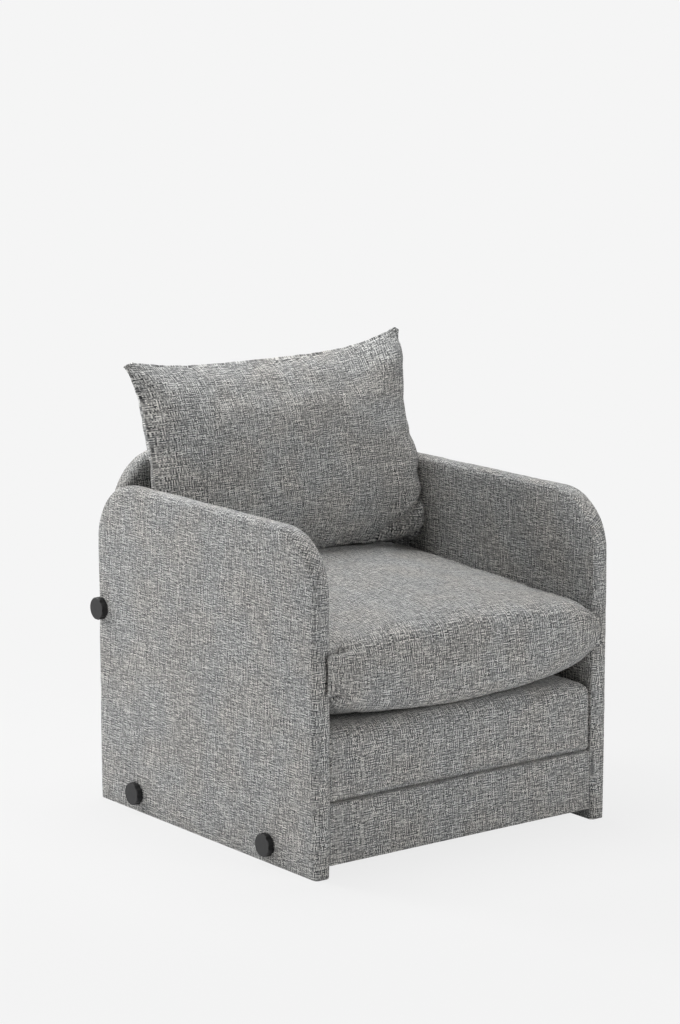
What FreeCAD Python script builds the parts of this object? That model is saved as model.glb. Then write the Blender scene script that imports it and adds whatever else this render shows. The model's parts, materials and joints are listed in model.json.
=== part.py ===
import FreeCAD, Part
import math
import os

import Sketcher
from FreeCAD import Placement, Rotation, Vector

# Convertible chair bed, lengths in millimetres.
# X runs to the right as seen from the front, Y to the back, Z up; the floor is z = 0 and the origin
# lies on it, midway between the arms. Two arms, a back panel and a base are bolted together. On the
# base lie a middle section and a seat pad, which fold out forwards to a bed of three equal lengths.

doc = FreeCAD.newDocument("chair_bed")
sheet = doc.addObject("Spreadsheet::Sheet", "sizes")

driving_sizes = {
    # Bed sections
    "bed_width": 606,
    "section_rear_clearance": 11,
    "side_clearance": 3,
    "fold_gap": 0.6,
    "section_edge_radius": 8,
    "section_profile_radius": 10,
    # Arms and back panel: a board, a foam wrap and a cover
    "board_thickness": 18,
    "panel_foam": 6.6,
    "cover_thickness": 1,
    "layer_gap": 0.2,
    "panel_edge_radius": 12,
    "panel_fit": 0.3,
    "arm_depth": 696,
    "arm_height": 623,
    "arm_corner_radius": 114,
    "back_height": 650,
    "back_corner_radius": 110,
    "back_overhang": 2,
    # Base
    "base_clearance": 22,
    "base_height": 112,
    "front_setback": 3,
    "rail_width": 22,
    "rail_height": 40,
    "deck_thickness": 6,
    "dust_cloth": 0.8,
    "frame_padding": 10.8,
    "corner_block": 32,
    "foot_top_radius": 14,
    "foot_bottom_radius": 12,
    "foot_inset": 110,
    "foot_rear_inset": 80,
    # Middle section
    "middle_thickness": 133,
    "middle_front_radius": 28,
    "middle_rear_radius": 12,
    # Cloth hinges
    "hinge_leaf": 0.25,
    "hinge_leaf_depth": 30,
    "hinge_side_inset": 12,
    # Seat pad
    "seat_overhang": 12,
    "seat_front_bulge": 8,
    "seat_ear": 11,
    "seat_ear_depth": 14,
    "seat_seam_front": 140,
    "seat_seam_rear": 170,
    "seat_crown": 36,
    "seat_crown_rear": 22,
    "seat_corner_lift": 64,
    "seat_foot_round": 3,
    "seat_side_bulge": 2,
    "seat_end_inset": 17,
    "seat_end_round": 22,
    "seat_wrap": 12,
    "soft_gap": 0.8,
    # Back cushion
    "cushion_side_gap": 7,
    "cushion_height": 380,
    "cushion_depth": 150,
    "cushion_tilt": 11,
    "cushion_shift": 4,
    "cushion_ear_side": 34,
    "cushion_ear_up": 22,
    "cushion_foot_side": 6,
    "cushion_foot_down": 12,
    "cushion_side_bulge": 9,
    # Clamp knobs, studs and nuts
    "stud_radius": 3.95,
    "stud_length": 70,
    "stud_grip": 8,
    "stud_hole": 4.5,
    "stud_hole_foam": 5,
    "front_stud_inset": 145,
    "rear_stud_inset": 128,
    "low_stud_z": 35,
    "back_stud_z": 375,
    "knob_radius": 21.7,
    "knob_thickness": 12,
    "knob_edge": 2,
    "scallop_radius": 11,
    "scallop_depth": 1.3,
    "scallop_count": 8,
    "washer_radius": 11,
    "washer_thickness": 1.6,
    "thread_clearance": 0.05,
    "nut_barrel_radius": 4.9,
    "nut_barrel_length": 11,
    "nut_flange_radius": 11,
    "nut_flange": 1.5,
    "insert_radius": 5.5,
    "insert_length": 18,
    "seat_fit": 0.1,
    # Bolts that hold the foot of the back board, and wood screws
    "bolt_radius": 3,
    "bolt_head_radius": 6,
    "bolt_head": 4,
    "bolt_length": 54,
    "bolt_spacing": 300,
    "bolt_insert_radius": 4.6,
    "bolt_insert_length": 13,
    "screw_radius": 1.75,
    "screw_head_radius": 3.4,
    "screw_head": 2.2,
    "screw_length": 22,
    "foot_screw_length": 42,
    "foot_screw_recess": 6,
}
for row, (alias, value) in enumerate(driving_sizes.items(), start=1):
    sheet.set(f"A{row}", alias)
    sheet.set(f"B{row}", str(value))
    sheet.setAlias(f"B{row}", alias)
doc.recompute()


def number(expression):
    """The value of a sheet expression, for shapes that are worked out here."""
    return float(sheet.evalExpression(expression))


# Lengths that follow from the driving sizes, as sheet expressions
wrap = "(sizes.cover_thickness + sizes.panel_foam + 2 * sizes.layer_gap)"
panel = f"(sizes.board_thickness + 2 * {wrap})"
inner_face = "(sizes.bed_width / 2 + sizes.side_clearance)"
arm_middle = f"({inner_face} + {panel} / 2)"
arm_outer_face = f"({inner_face} + {panel})"
arm_front = "(-sizes.arm_depth / 2)"
front_face = f"({arm_front} + sizes.front_setback)"
back_middle = f"(sizes.arm_depth / 2 + sizes.back_overhang - {panel} / 2)"
back_front_face = f"({back_middle} - {panel} / 2)"
base_half = f"({inner_face} - sizes.panel_fit)"
base_rear = f"({back_front_face} - sizes.panel_fit)"
base_top = "(sizes.base_clearance + sizes.base_height)"
skin = "(sizes.cover_thickness + sizes.layer_gap)"
frame_front = f"({front_face} + {skin} + sizes.frame_padding)"
frame_rear = f"({base_rear} - {skin} - sizes.frame_padding)"
frame_half = f"({base_half} - {skin})"
frame_bottom = "(sizes.base_clearance + sizes.dust_cloth + sizes.layer_gap)"
deck_bottom = f"({frame_bottom} + sizes.rail_height)"
deck_top = f"({deck_bottom} + sizes.deck_thickness)"
rail_inner = f"({frame_half} - sizes.rail_width)"
section_rear = f"({back_front_face} - sizes.section_rear_clearance)"
middle_bottom = f"({base_top} + sizes.fold_gap)"
middle_top = f"({middle_bottom} + sizes.middle_thickness)"
seat_bottom = f"({middle_top} + sizes.fold_gap)"
washer_face = f"({arm_outer_face} + sizes.washer_thickness)"
stud_tip = f"({washer_face} + sizes.stud_grip - sizes.stud_length)"

parts = {}


def keep(node, item):
    """Note a finished sub-part under the name that its file gets."""
    item.Label = node
    parts[node] = item
    return item


def place(item, x="0", y="0", z="0"):
    item.setExpression("Placement.Base.x", x)
    item.setExpression("Placement.Base.y", y)
    item.setExpression("Placement.Base.z", z)
    return item


def origin_feature(body, role):
    return next(item for item in body.Origin.OriginFeatures if item.Role == role)


def new_sketch(body, role):
    sketch = body.newObject("Sketcher::SketchObject", f"{body.Name}_sketch")
    sketch.AttachmentSupport = (origin_feature(body, role), [""])
    sketch.MapMode = "FlatFace"
    return sketch


def add_circle(sketch, radius, distance=None):
    """A circle on the sketch's origin, or at a distance from it along the sketch's X."""
    centre = Vector(number(distance) if distance else 0, 0, 0)
    circle = sketch.addGeometry(Part.Circle(centre, Vector(0, 0, 1), number(radius)))
    if distance:
        sketch.addConstraint(Sketcher.Constraint("PointOnObject", circle, 3, -1))
        sketch.addConstraint(Sketcher.Constraint("DistanceX", -1, 1, circle, 3, centre.x))
        sketch.renameConstraint(1, "distance")
        sketch.setExpression("Constraints.distance", distance)
    else:
        sketch.addConstraint(Sketcher.Constraint("Coincident", circle, 3, -1, 1))
    index = sketch.addConstraint(Sketcher.Constraint("Radius", circle, number(radius)))
    sketch.renameConstraint(index, "radius")
    sketch.setExpression("Constraints.radius", radius)


def add_outline(sketch, left, right, bottom, top, radii):
    """A rectangle whose corners, from the lower left one anticlockwise, are sharp or round."""
    low = Vector(number(left), number(bottom), 0)
    high = Vector(number(right), number(top), 0)
    corners = [low, Vector(high.x, low.y, 0), high, Vector(low.x, high.y, 0)]
    along = [Vector(1, 0, 0), Vector(0, 1, 0), Vector(-1, 0, 0), Vector(0, -1, 0)]
    round_by = [number(radius) if radius else 0 for radius in radii]
    lines = []
    for side in range(4):
        following = (side + 1) % 4
        start = corners[side] + along[side] * round_by[side]
        end = corners[following] - along[side] * round_by[following]
        lines.append(sketch.addGeometry(Part.LineSegment(start, end)))
        direction = "Horizontal" if side % 2 == 0 else "Vertical"
        sketch.addConstraint(Sketcher.Constraint(direction, lines[side]))
    for corner, radius in enumerate(radii):
        before = lines[corner - 1]
        after = lines[corner]
        if not radius:
            sketch.addConstraint(Sketcher.Constraint("Coincident", before, 2, after, 1))
            continue
        centre = corners[corner] + (along[corner] - along[corner - 1]) * round_by[corner]
        quarter = math.pi / 2
        circle = Part.Circle(centre, Vector(0, 0, 1), round_by[corner])
        arc = sketch.addGeometry(Part.ArcOfCircle(circle, (corner + 2) * quarter, (corner + 3) * quarter))
        sketch.addConstraint(Sketcher.Constraint("Tangent", before, 2, arc, 1))
        sketch.addConstraint(Sketcher.Constraint("Tangent", arc, 2, after, 1))
        index = sketch.addConstraint(Sketcher.Constraint("Radius", arc, round_by[corner]))
        sketch.renameConstraint(index, f"corner{corner}")
        sketch.setExpression(f"Constraints.corner{corner}", radius)
    edges = {
        "left": ("DistanceX", lines[3], left),
        "right": ("DistanceX", lines[1], right),
        "bottom": ("DistanceY", lines[0], bottom),
        "top": ("DistanceY", lines[2], top),
    }
    for name, (kind, line, expression) in edges.items():
        index = sketch.addConstraint(Sketcher.Constraint(kind, -1, 1, line, 1, number(expression)))
        sketch.renameConstraint(index, name)
        sketch.setExpression(f"Constraints.{name}", expression)


def rounded_slab(name, plane, left, right, bottom, top, radii, thickness, edge_radius=None):
    """A slab on an upright plane, its rims rounded except along a sharp-cornered bottom."""
    body = doc.addObject("PartDesign::Body", name)
    sketch = new_sketch(body, plane)
    add_outline(sketch, left, right, bottom, top, radii)
    pad = body.newObject("PartDesign::Pad", f"{name}_pad")
    pad.Profile = sketch
    pad.SideType = "Symmetric"
    pad.setExpression("Length", thickness)
    sketch.Visibility = False
    doc.recompute()
    if edge_radius is None:
        return body
    axis = "x" if plane == "YZ_Plane" else "y"
    floor = number(bottom) if not radii[0] else None
    rims = []
    for index, edge in enumerate(pad.Shape.Edges, start=1):
        ends = [abs(getattr(vertex.Point, axis)) for vertex in edge.Vertexes]
        on_face = all(abs(end - number(thickness) / 2) < 1e-6 for end in ends)
        on_floor = floor is not None and all(abs(v.Point.z - floor) < 1e-6 for v in edge.Vertexes)
        if on_face and not on_floor:
            rims.append(f"Edge{index}")
    fillet = body.newObject("PartDesign::Fillet", f"{name}_rims")
    fillet.Base = (pad, rims)
    fillet.setExpression("Radius", edge_radius)
    return body


def box(name, x, y, z, length, width, height):
    block = doc.addObject("Part::Box", name)
    block.setExpression("Length", length)
    block.setExpression("Width", width)
    block.setExpression("Height", height)
    return place(block, x, y, z)


turns = {
    "+x": Rotation(Vector(0, 1, 0), 90),
    "-x": Rotation(Vector(0, 1, 0), -90),
    "+y": Rotation(Vector(1, 0, 0), -90),
    "+z": Rotation(),
}


def rod(name, direction, radius, length, x, y, z):
    """A cylinder that starts at a point and runs in a direction."""
    cylinder = doc.addObject("Part::Cylinder", name)
    cylinder.setExpression("Radius", radius)
    cylinder.setExpression("Height", length)
    cylinder.Placement = Placement(Vector(), turns[direction])
    return place(cylinder, x, y, z)


def fuse(name, items):
    joined = doc.addObject("Part::MultiFuse", name)
    joined.Shapes = items
    return joined


def cut(name, base, tools):
    result = doc.addObject("Part::Cut", name)
    result.Base = base
    result.Tool = tools[0] if len(tools) == 1 else fuse(f"{name}_tools", tools)
    return result


def group(name, items):
    compound = doc.addObject("Part::Compound", name)
    compound.Links = items
    return compound


sides = {"left": -1, "right": 1}
outward = {"left": "-x", "right": "+x"}
studs = {
    "front": (f"({arm_front} + sizes.front_stud_inset)", "sizes.low_stud_z"),
    "rear": ("(sizes.arm_depth / 2 - sizes.rear_stud_inset)", "sizes.low_stud_z"),
    "back": (back_middle, "sizes.back_stud_z"),
}


def panel_layers(prefix, plane, near, far, bottom, top, corner, thickness_axis, middle, drills):
    """The board, foam wrap and cover of an upholstered panel, open along its foot."""
    insets = {
        "cover": ("0", "sizes.cover_thickness"),
        "foam": (skin, f"({wrap} - sizes.layer_gap)"),
        "board": (wrap, None),
    }
    for layer, (outside, inside) in insets.items():
        node = f"{prefix}_{layer}"
        slabs = []
        for part_of, inset in (("outside", outside), ("inside", inside)):
            if inset is None:
                continue
            foot = bottom if part_of == "outside" else f"({bottom} - sizes.cover_thickness)"
            slab = rounded_slab(
                f"{node}_{part_of}",
                plane,
                f"({near} + {inset})",
                f"({far} - {inset})",
                foot,
                f"({top} - {inset})",
                (None, None, f"({corner} - {inset})", f"({corner} - {inset})"),
                f"({panel} - 2 * {inset})",
                f"(sizes.panel_edge_radius - {inset})",
            )
            slabs.append(place(slab, **{thickness_axis: middle}))
        tools = slabs[1:] + drills(node, layer)
        keep(node, cut(node, slabs[0], tools))


def arm(side):
    sign = sides[side]

    def drills(node, layer):
        radius = "sizes.stud_hole_foam" if layer == "foam" else "sizes.stud_hole"
        start = f"({sign} * {arm_middle} - {panel})"
        return [
            rod(f"{node}_{name}_hole", "+x", radius, f"(2 * {panel})", start, y, z)
            for name, (y, z) in studs.items()
        ]

    panel_layers(
        f"{side}_arm",
        "YZ_Plane",
        arm_front,
        f"(-{arm_front})",
        "0",
        "sizes.arm_height",
        "sizes.arm_corner_radius",
        "x",
        f"({sign} * {arm_middle})",
        drills,
    )


bolt_start = f"({frame_rear} - sizes.rail_width)"
bolt_z = f"({frame_bottom} + sizes.rail_height / 2)"
bolt_places = {side: f"({sign} * sizes.bolt_spacing / 2)" for side, sign in sides.items()}


def back_drills(node, layer):
    """Holes for the upper studs in the ends, and for the two bolts at the foot."""
    board_end = f"({base_half} - {wrap})"
    if layer == "board":
        stud_radius = "(sizes.insert_radius + sizes.seat_fit)"
        bolt_radius = "(sizes.bolt_insert_radius + sizes.seat_fit)"
    else:
        stud_radius = "sizes.stud_hole_foam"
        bolt_radius = "(sizes.bolt_radius + sizes.seat_fit)"
    depth = f"({board_end} - {stud_tip} + 2 * sizes.bolt_head)"
    reach = f"({wrap} + sizes.bolt_insert_length + 2 * sizes.seat_fit)"
    holes = []
    for side, sign in sides.items():
        outer = f"({sign} * {inner_face})"
        length = f"({inner_face} - {board_end} + {depth})"
        inward = "+x" if side == "left" else "-x"
        height = "sizes.back_stud_z"
        spot = (outer, back_middle, height)
        holes.append(rod(f"{node}_{side}_stud_hole", inward, stud_radius, length, *spot))
        spot = (bolt_places[side], back_front_face, bolt_z)
        holes.append(rod(f"{node}_{side}_bolt_hole", "+y", bolt_radius, reach, *spot))
    return holes


def back_panel():
    panel_layers(
        "back",
        "XZ_Plane",
        f"(-{base_half})",
        base_half,
        "sizes.base_clearance",
        "(sizes.base_clearance + sizes.back_height)",
        "sizes.back_corner_radius",
        "y",
        back_middle,
        back_drills,
    )


def back_nuts_and_bolts():
    """Insert nuts for the upper studs, and the bolts and their nuts at the back board's foot."""
    board_end = f"({base_half} - {wrap})"
    inserts = []
    bolts = []
    for side, sign in sides.items():
        inward = "+x" if side == "left" else "-x"
        end = f"({sign} * {board_end})"
        spot = (end, back_middle, "sizes.back_stud_z")
        shell = rod(f"{side}_insert_shell", inward, "sizes.insert_radius", "sizes.insert_length", *spot)
        bore_radius = "(sizes.stud_radius + sizes.thread_clearance)"
        bore = rod(f"{side}_insert_bore", inward, bore_radius, "sizes.insert_length", *spot)
        inserts.append(cut(f"{side}_stud_insert", shell, [bore]))

        board_face = f"({back_front_face} + {wrap})"
        spot = (bolt_places[side], board_face, bolt_z)
        nut_size = ("sizes.bolt_insert_radius", "sizes.bolt_insert_length")
        nut = rod(f"{side}_bolt_insert_shell", "+y", *nut_size, *spot)
        bore_radius = "(sizes.bolt_radius + sizes.thread_clearance)"
        bore = rod(f"{side}_bolt_insert_bore", "+y", bore_radius, "sizes.bolt_insert_length", *spot)
        inserts.append(cut(f"{side}_bolt_insert", nut, [bore]))

        spot = (bolt_places[side], bolt_start, bolt_z)
        shank = rod(f"{side}_bolt_shank", "+y", "sizes.bolt_radius", "sizes.bolt_length", *spot)
        head_start = f"({bolt_start} - sizes.bolt_head)"
        head_spot = (bolt_places[side], head_start, bolt_z)
        head = rod(f"{side}_bolt_head", "+y", "sizes.bolt_head_radius", "sizes.bolt_head", *head_spot)
        bolts.append(fuse(f"{side}_back_bolt", [shank, head]))
    keep("back_insert_nuts", group("back_insert_nuts", inserts))
    keep("back_bolts", group("back_bolts", bolts))


foot_x = f"({frame_half} - sizes.foot_top_radius - sizes.seat_fit)"
foot_rows = {
    "front": f"({front_face} + sizes.foot_inset)",
    "rear": f"({base_rear} - sizes.foot_rear_inset)",
}
feet = [(side, sign, row, y) for side, sign in sides.items() for row, y in foot_rows.items()]
deck_screw_rows = 5


def foot_screw_holes(node, radius):
    """Upright holes at the four feet, through whatever lies above the floor."""
    return [
        rod(
            f"{node}_{side}_{row}_foot_hole",
            "+z",
            radius,
            "(sizes.foot_screw_recess + sizes.foot_screw_length + sizes.seat_fit)",
            f"({sign} * {foot_x})",
            y,
            "0",
        )
        for side, sign, row, y in feet
    ]


def deck_screw_places():
    """Sheet expressions for where the deck is screwed down on the side rails."""
    spacing = f"(({frame_rear} - {frame_front} - 2 * sizes.rail_width) / {deck_screw_rows - 1})"
    for side, sign in sides.items():
        for row in range(deck_screw_rows):
            x = f"({sign} * ({rail_inner} + sizes.rail_width / 2))"
            y = f"({frame_front} + sizes.rail_width + {row} * {spacing})"
            yield f"{side}_{row}", x, y


def deck_screw_holes(node, radius, bottom, length):
    return [
        rod(f"{node}_{name}_screw_hole", "+z", radius, length, x, y, bottom)
        for name, x, y in deck_screw_places()
    ]


def base_frame():
    """Five rails, four corner blocks and the deck on them."""
    frame_length = f"({frame_rear} - {frame_front})"
    cross_length = f"(2 * {rail_inner})"
    screw_bottom = f"({deck_top} - sizes.screw_length - sizes.seat_fit)"
    screw_hole = "(sizes.screw_radius + sizes.thread_clearance)"
    for side, sign in sides.items():
        node = f"base_{side}_rail"
        start = f"({sign} * ({rail_inner} + sizes.rail_width / 2) - sizes.rail_width / 2)"
        size = ("sizes.rail_width", frame_length, "sizes.rail_height")
        blank = box(f"{node}_blank", start, frame_front, frame_bottom, *size)
        inner = f"({sign} * {rail_inner})"
        barrel_length = "(sizes.nut_barrel_length + sizes.seat_fit)"
        tools = deck_screw_holes(node, screw_hole, screw_bottom, "sizes.screw_length")
        tools += foot_screw_holes(node, "(sizes.bolt_radius / 2 + sizes.thread_clearance)")
        barrel_size = ("(sizes.nut_barrel_radius + sizes.seat_fit)", barrel_length)
        hole_size = ("sizes.stud_hole", "sizes.rail_width")
        for name in ("front", "rear"):
            spot = (inner, *studs[name])
            tools.append(rod(f"{node}_{name}_barrel_hole", outward[side], *barrel_size, *spot))
            tools.append(rod(f"{node}_{name}_hole", outward[side], *hole_size, *spot))
        keep(node, cut(node, blank, tools))

    cross_size = (cross_length, "sizes.rail_width", "sizes.rail_height")
    cross_x = f"(-{rail_inner})"
    keep("base_front_rail", box("base_front_rail", cross_x, frame_front, frame_bottom, *cross_size))
    middle_y = f"(({frame_front} + {frame_rear} - sizes.rail_width) / 2)"
    keep("base_middle_rail", box("base_middle_rail", cross_x, middle_y, frame_bottom, *cross_size))
    blank = box("base_rear_rail_blank", cross_x, bolt_start, frame_bottom, *cross_size)
    bolt_hole = "(sizes.bolt_radius + sizes.seat_fit)"
    holes = [
        rod(f"rear_rail_{side}_hole", "+y", bolt_hole, "sizes.rail_width", x, bolt_start, bolt_z)
        for side, x in bolt_places.items()
    ]
    keep("base_rear_rail", cut("base_rear_rail", blank, holes))

    blocks = []
    block_rows = {
        "front": f"({frame_front} + sizes.rail_width)",
        "rear": f"({bolt_start} - sizes.corner_block)",
    }
    for side, sign in sides.items():
        x = f"({sign} * ({rail_inner} - sizes.corner_block / 2) - sizes.corner_block / 2)"
        for row, y in block_rows.items():
            size = ("sizes.corner_block", "sizes.corner_block", "sizes.rail_height")
            blocks.append(box(f"{side}_{row}_block", x, y, frame_bottom, *size))
    keep("base_corner_blocks", group("base_corner_blocks", blocks))

    deck_size = (f"(2 * {frame_half})", frame_length, "sizes.deck_thickness")
    blank = box("base_deck_blank", f"(-{frame_half})", frame_front, deck_bottom, *deck_size)
    tools = deck_screw_holes("deck", screw_hole, deck_bottom, "sizes.deck_thickness")
    recess = f"({deck_top} - sizes.screw_head - sizes.seat_fit)"
    head_hole = "(sizes.screw_head_radius + sizes.seat_fit)"
    tools += deck_screw_holes("deck_recess", head_hole, recess, "(2 * sizes.screw_head)")
    keep("base_deck", cut("base_deck", blank, tools))

    screws = []
    shank_size = ("sizes.screw_radius", "sizes.screw_length")
    shank_bottom = f"({deck_top} - sizes.screw_length)"
    head_size = ("sizes.screw_head_radius", "sizes.screw_head")
    head_bottom = f"({deck_top} - sizes.screw_head)"
    for name, x, y in deck_screw_places():
        shank = rod(f"{name}_deck_shank", "+z", *shank_size, x, y, shank_bottom)
        head = rod(f"{name}_deck_head", "+z", *head_size, x, y, head_bottom)
        screws.append(fuse(f"{name}_deck_screw", [shank, head]))
    keep("deck_screws", group("deck_screws", screws))


def base_nuts():
    """T-nuts on the inner faces of the side rails, one for each lower stud."""
    nuts = []
    bore_radius = "(sizes.stud_radius + sizes.thread_clearance)"
    for side, sign in sides.items():
        for name in ("front", "rear"):
            y, z = studs[name]
            inner = f"({sign} * {rail_inner})"
            label = f"{side}_{name}_t_nut"
            barrel_size = ("sizes.nut_barrel_radius", "sizes.nut_barrel_length")
            barrel = rod(f"{label}_barrel", outward[side], *barrel_size, inner, y, z)
            start = f"({sign} * ({rail_inner} - sizes.nut_flange))"
            flange_size = ("sizes.nut_flange_radius", "sizes.nut_flange")
            flange = rod(f"{label}_flange", outward[side], *flange_size, start, y, z)
            bore_length = "(sizes.nut_flange + sizes.nut_barrel_length)"
            bore = rod(f"{label}_bore", outward[side], bore_radius, bore_length, start, y, z)
            nuts.append(cut(label, fuse(f"{label}_blank", [barrel, flange]), [bore]))
    keep("base_t_nuts", group("base_t_nuts", nuts))


def base_feet():
    """Four low plastic feet and the screw up through each."""
    foot_items = []
    screws = []
    shank_radius = "(sizes.bolt_radius / 2)"
    for side, sign, row, y in feet:
        x = f"({sign} * {foot_x})"
        cone = doc.addObject("Part::Cone", f"{side}_{row}_foot_blank")
        cone.setExpression("Radius1", "sizes.foot_bottom_radius")
        cone.setExpression("Radius2", "sizes.foot_top_radius")
        cone.setExpression("Height", "sizes.base_clearance")
        place(cone, x, y, "0")
        hole_radius = f"({shank_radius} + sizes.thread_clearance)"
        hole = rod(f"{side}_{row}_foot_hole", "+z", hole_radius, "sizes.base_clearance", x, y, "0")
        recess_radius = "(sizes.screw_head_radius + sizes.seat_fit)"
        recess_length = "(sizes.foot_screw_recess + sizes.screw_head)"
        recess = rod(f"{side}_{row}_foot_recess", "+z", recess_radius, recess_length, x, y, "0")
        foot_items.append(cut(f"{side}_{row}_foot", cone, [hole, recess]))

        screw_spot = (x, y, "sizes.foot_screw_recess")
        shank = rod(f"{side}_{row}_foot_shank", "+z", shank_radius, "sizes.foot_screw_length", *screw_spot)
        head_size = ("sizes.screw_head_radius", "sizes.screw_head")
        head = rod(f"{side}_{row}_foot_head", "+z", *head_size, *screw_spot)
        screws.append(fuse(f"{side}_{row}_foot_screw", [shank, head]))
    keep("base_feet", group("base_feet", foot_items))
    keep("foot_screws", group("foot_screws", screws))


def section_slab(name, inset, rear, bottom, top, half, radii, open_foot):
    """The rounded block of a bed section, drawn in by an inset on every closed side."""
    foot = bottom if open_foot else f"({bottom} + {inset})"
    corner_radii = [f"({radius} - {inset})" if radius else None for radius in radii]
    return rounded_slab(
        name,
        "YZ_Plane",
        f"({front_face} + {inset})",
        f"({rear} - {inset})",
        foot,
        f"({top} - {inset})",
        corner_radii,
        f"(2 * ({half} - {inset}))",
        f"(sizes.section_edge_radius - {inset})",
    )


def base_soft_parts():
    """The cloth cover, the foam over and in front of the frame, and the dust cloth below."""
    profile = "sizes.section_profile_radius"
    radii = (None, None, profile, profile)
    low = "sizes.base_clearance"
    shape = (base_rear, low, base_top, base_half, radii, True)
    outside = section_slab("base_cover_outside", "0", *shape)
    below = f"({low} - sizes.cover_thickness)"
    shape = (base_rear, below, base_top, base_half, radii, True)
    inside = section_slab("base_cover_inside", "sizes.cover_thickness", *shape)
    tools = [inside]
    through = f"(2 * {inner_face})"
    for name in ("front", "rear"):
        spot = (f"(-{inner_face})", *studs[name])
        tools.append(rod(f"base_cover_{name}_hole", "+x", "sizes.stud_hole", through, *spot))
    for side, x in bolt_places.items():
        bolt_hole = "(sizes.bolt_radius + sizes.seat_fit)"
        length = f"({back_front_face} - {frame_rear})"
        tools.append(rod(f"base_cover_{side}_bolt_hole", "+y", bolt_hole, length, x, frame_rear, bolt_z))
    keep("base_cover", cut("base_cover", outside, tools))

    shape = (base_rear, frame_bottom, base_top, base_half, radii, True)
    blank = section_slab("base_foam_blank", skin, *shape)
    hollow_size = (
        f"(2 * {base_half})",
        f"({frame_rear} - {frame_front} + 2 * sizes.layer_gap)",
        f"({deck_top} + sizes.layer_gap)",
    )
    hollow_y = f"({frame_front} - sizes.layer_gap)"
    tools = [box("base_foam_hollow", f"(-{base_half})", hollow_y, "0", *hollow_size)]
    for side, x in bolt_places.items():
        bolt_hole = "(sizes.bolt_radius + sizes.seat_fit)"
        length = f"({base_rear} - {frame_rear})"
        tools.append(rod(f"base_foam_{side}_bolt_hole", "+y", bolt_hole, length, x, frame_rear, bolt_z))
    keep("base_foam", cut("base_foam", blank, tools))

    cloth_half = f"({base_half} - sizes.section_edge_radius)"
    cloth_size = (f"(2 * {cloth_half})", f"({base_rear} - {front_face} - 2 * {skin})", "sizes.dust_cloth")
    blank = box("dust_cover_blank", f"(-{cloth_half})", f"({front_face} + {skin})", low, *cloth_size)
    holes = foot_screw_holes("dust_cover", "sizes.bolt_radius")
    keep("base_dust_cover", cut("base_dust_cover", blank, holes))


def middle_section():
    """A foam block in a cloth cover, with a large round along its upper front edge."""
    profile = "sizes.section_profile_radius"
    radii = (profile, profile, "sizes.middle_rear_radius", "sizes.middle_front_radius")
    shape = (section_rear, middle_bottom, middle_top, "(sizes.bed_width / 2)", radii, False)
    outside = section_slab("middle_cover_outside", "0", *shape)
    inside = section_slab("middle_cover_inside", "sizes.cover_thickness", *shape)
    keep("middle_cover", cut("middle_cover", outside, [inside]))
    keep("middle_foam", section_slab("middle_foam", skin, *shape))


def cloth_hinges():
    """Each hinge is two leaves, one on either section, that meet at the fold line."""
    half = "(sizes.bed_width / 2 - sizes.hinge_side_inset)"
    size = (f"(2 * {half})", "sizes.hinge_leaf_depth", "sizes.hinge_leaf")
    rear_start = f"({section_rear} - sizes.hinge_leaf_depth)"
    leaves = {
        "front_hinge_lower_leaf": (front_face, base_top),
        "front_hinge_upper_leaf": (front_face, f"({middle_bottom} - sizes.hinge_leaf)"),
        "rear_hinge_lower_leaf": (rear_start, middle_top),
        "rear_hinge_upper_leaf": (rear_start, f"({seat_bottom} - sizes.hinge_leaf)"),
    }
    for node, (y, z) in leaves.items():
        keep(node, box(node, f"(-{half})", y, z, *size))


def arc_loop(points):
    """A closed wire of arcs from a list of corner, middle, corner, middle and so on."""
    count = len(points)
    arcs = [
        Part.Arc(points[i], points[i + 1], points[(i + 2) % count]).toShape()
        for i in range(0, count, 2)
    ]
    return Part.Wire(arcs)


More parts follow.
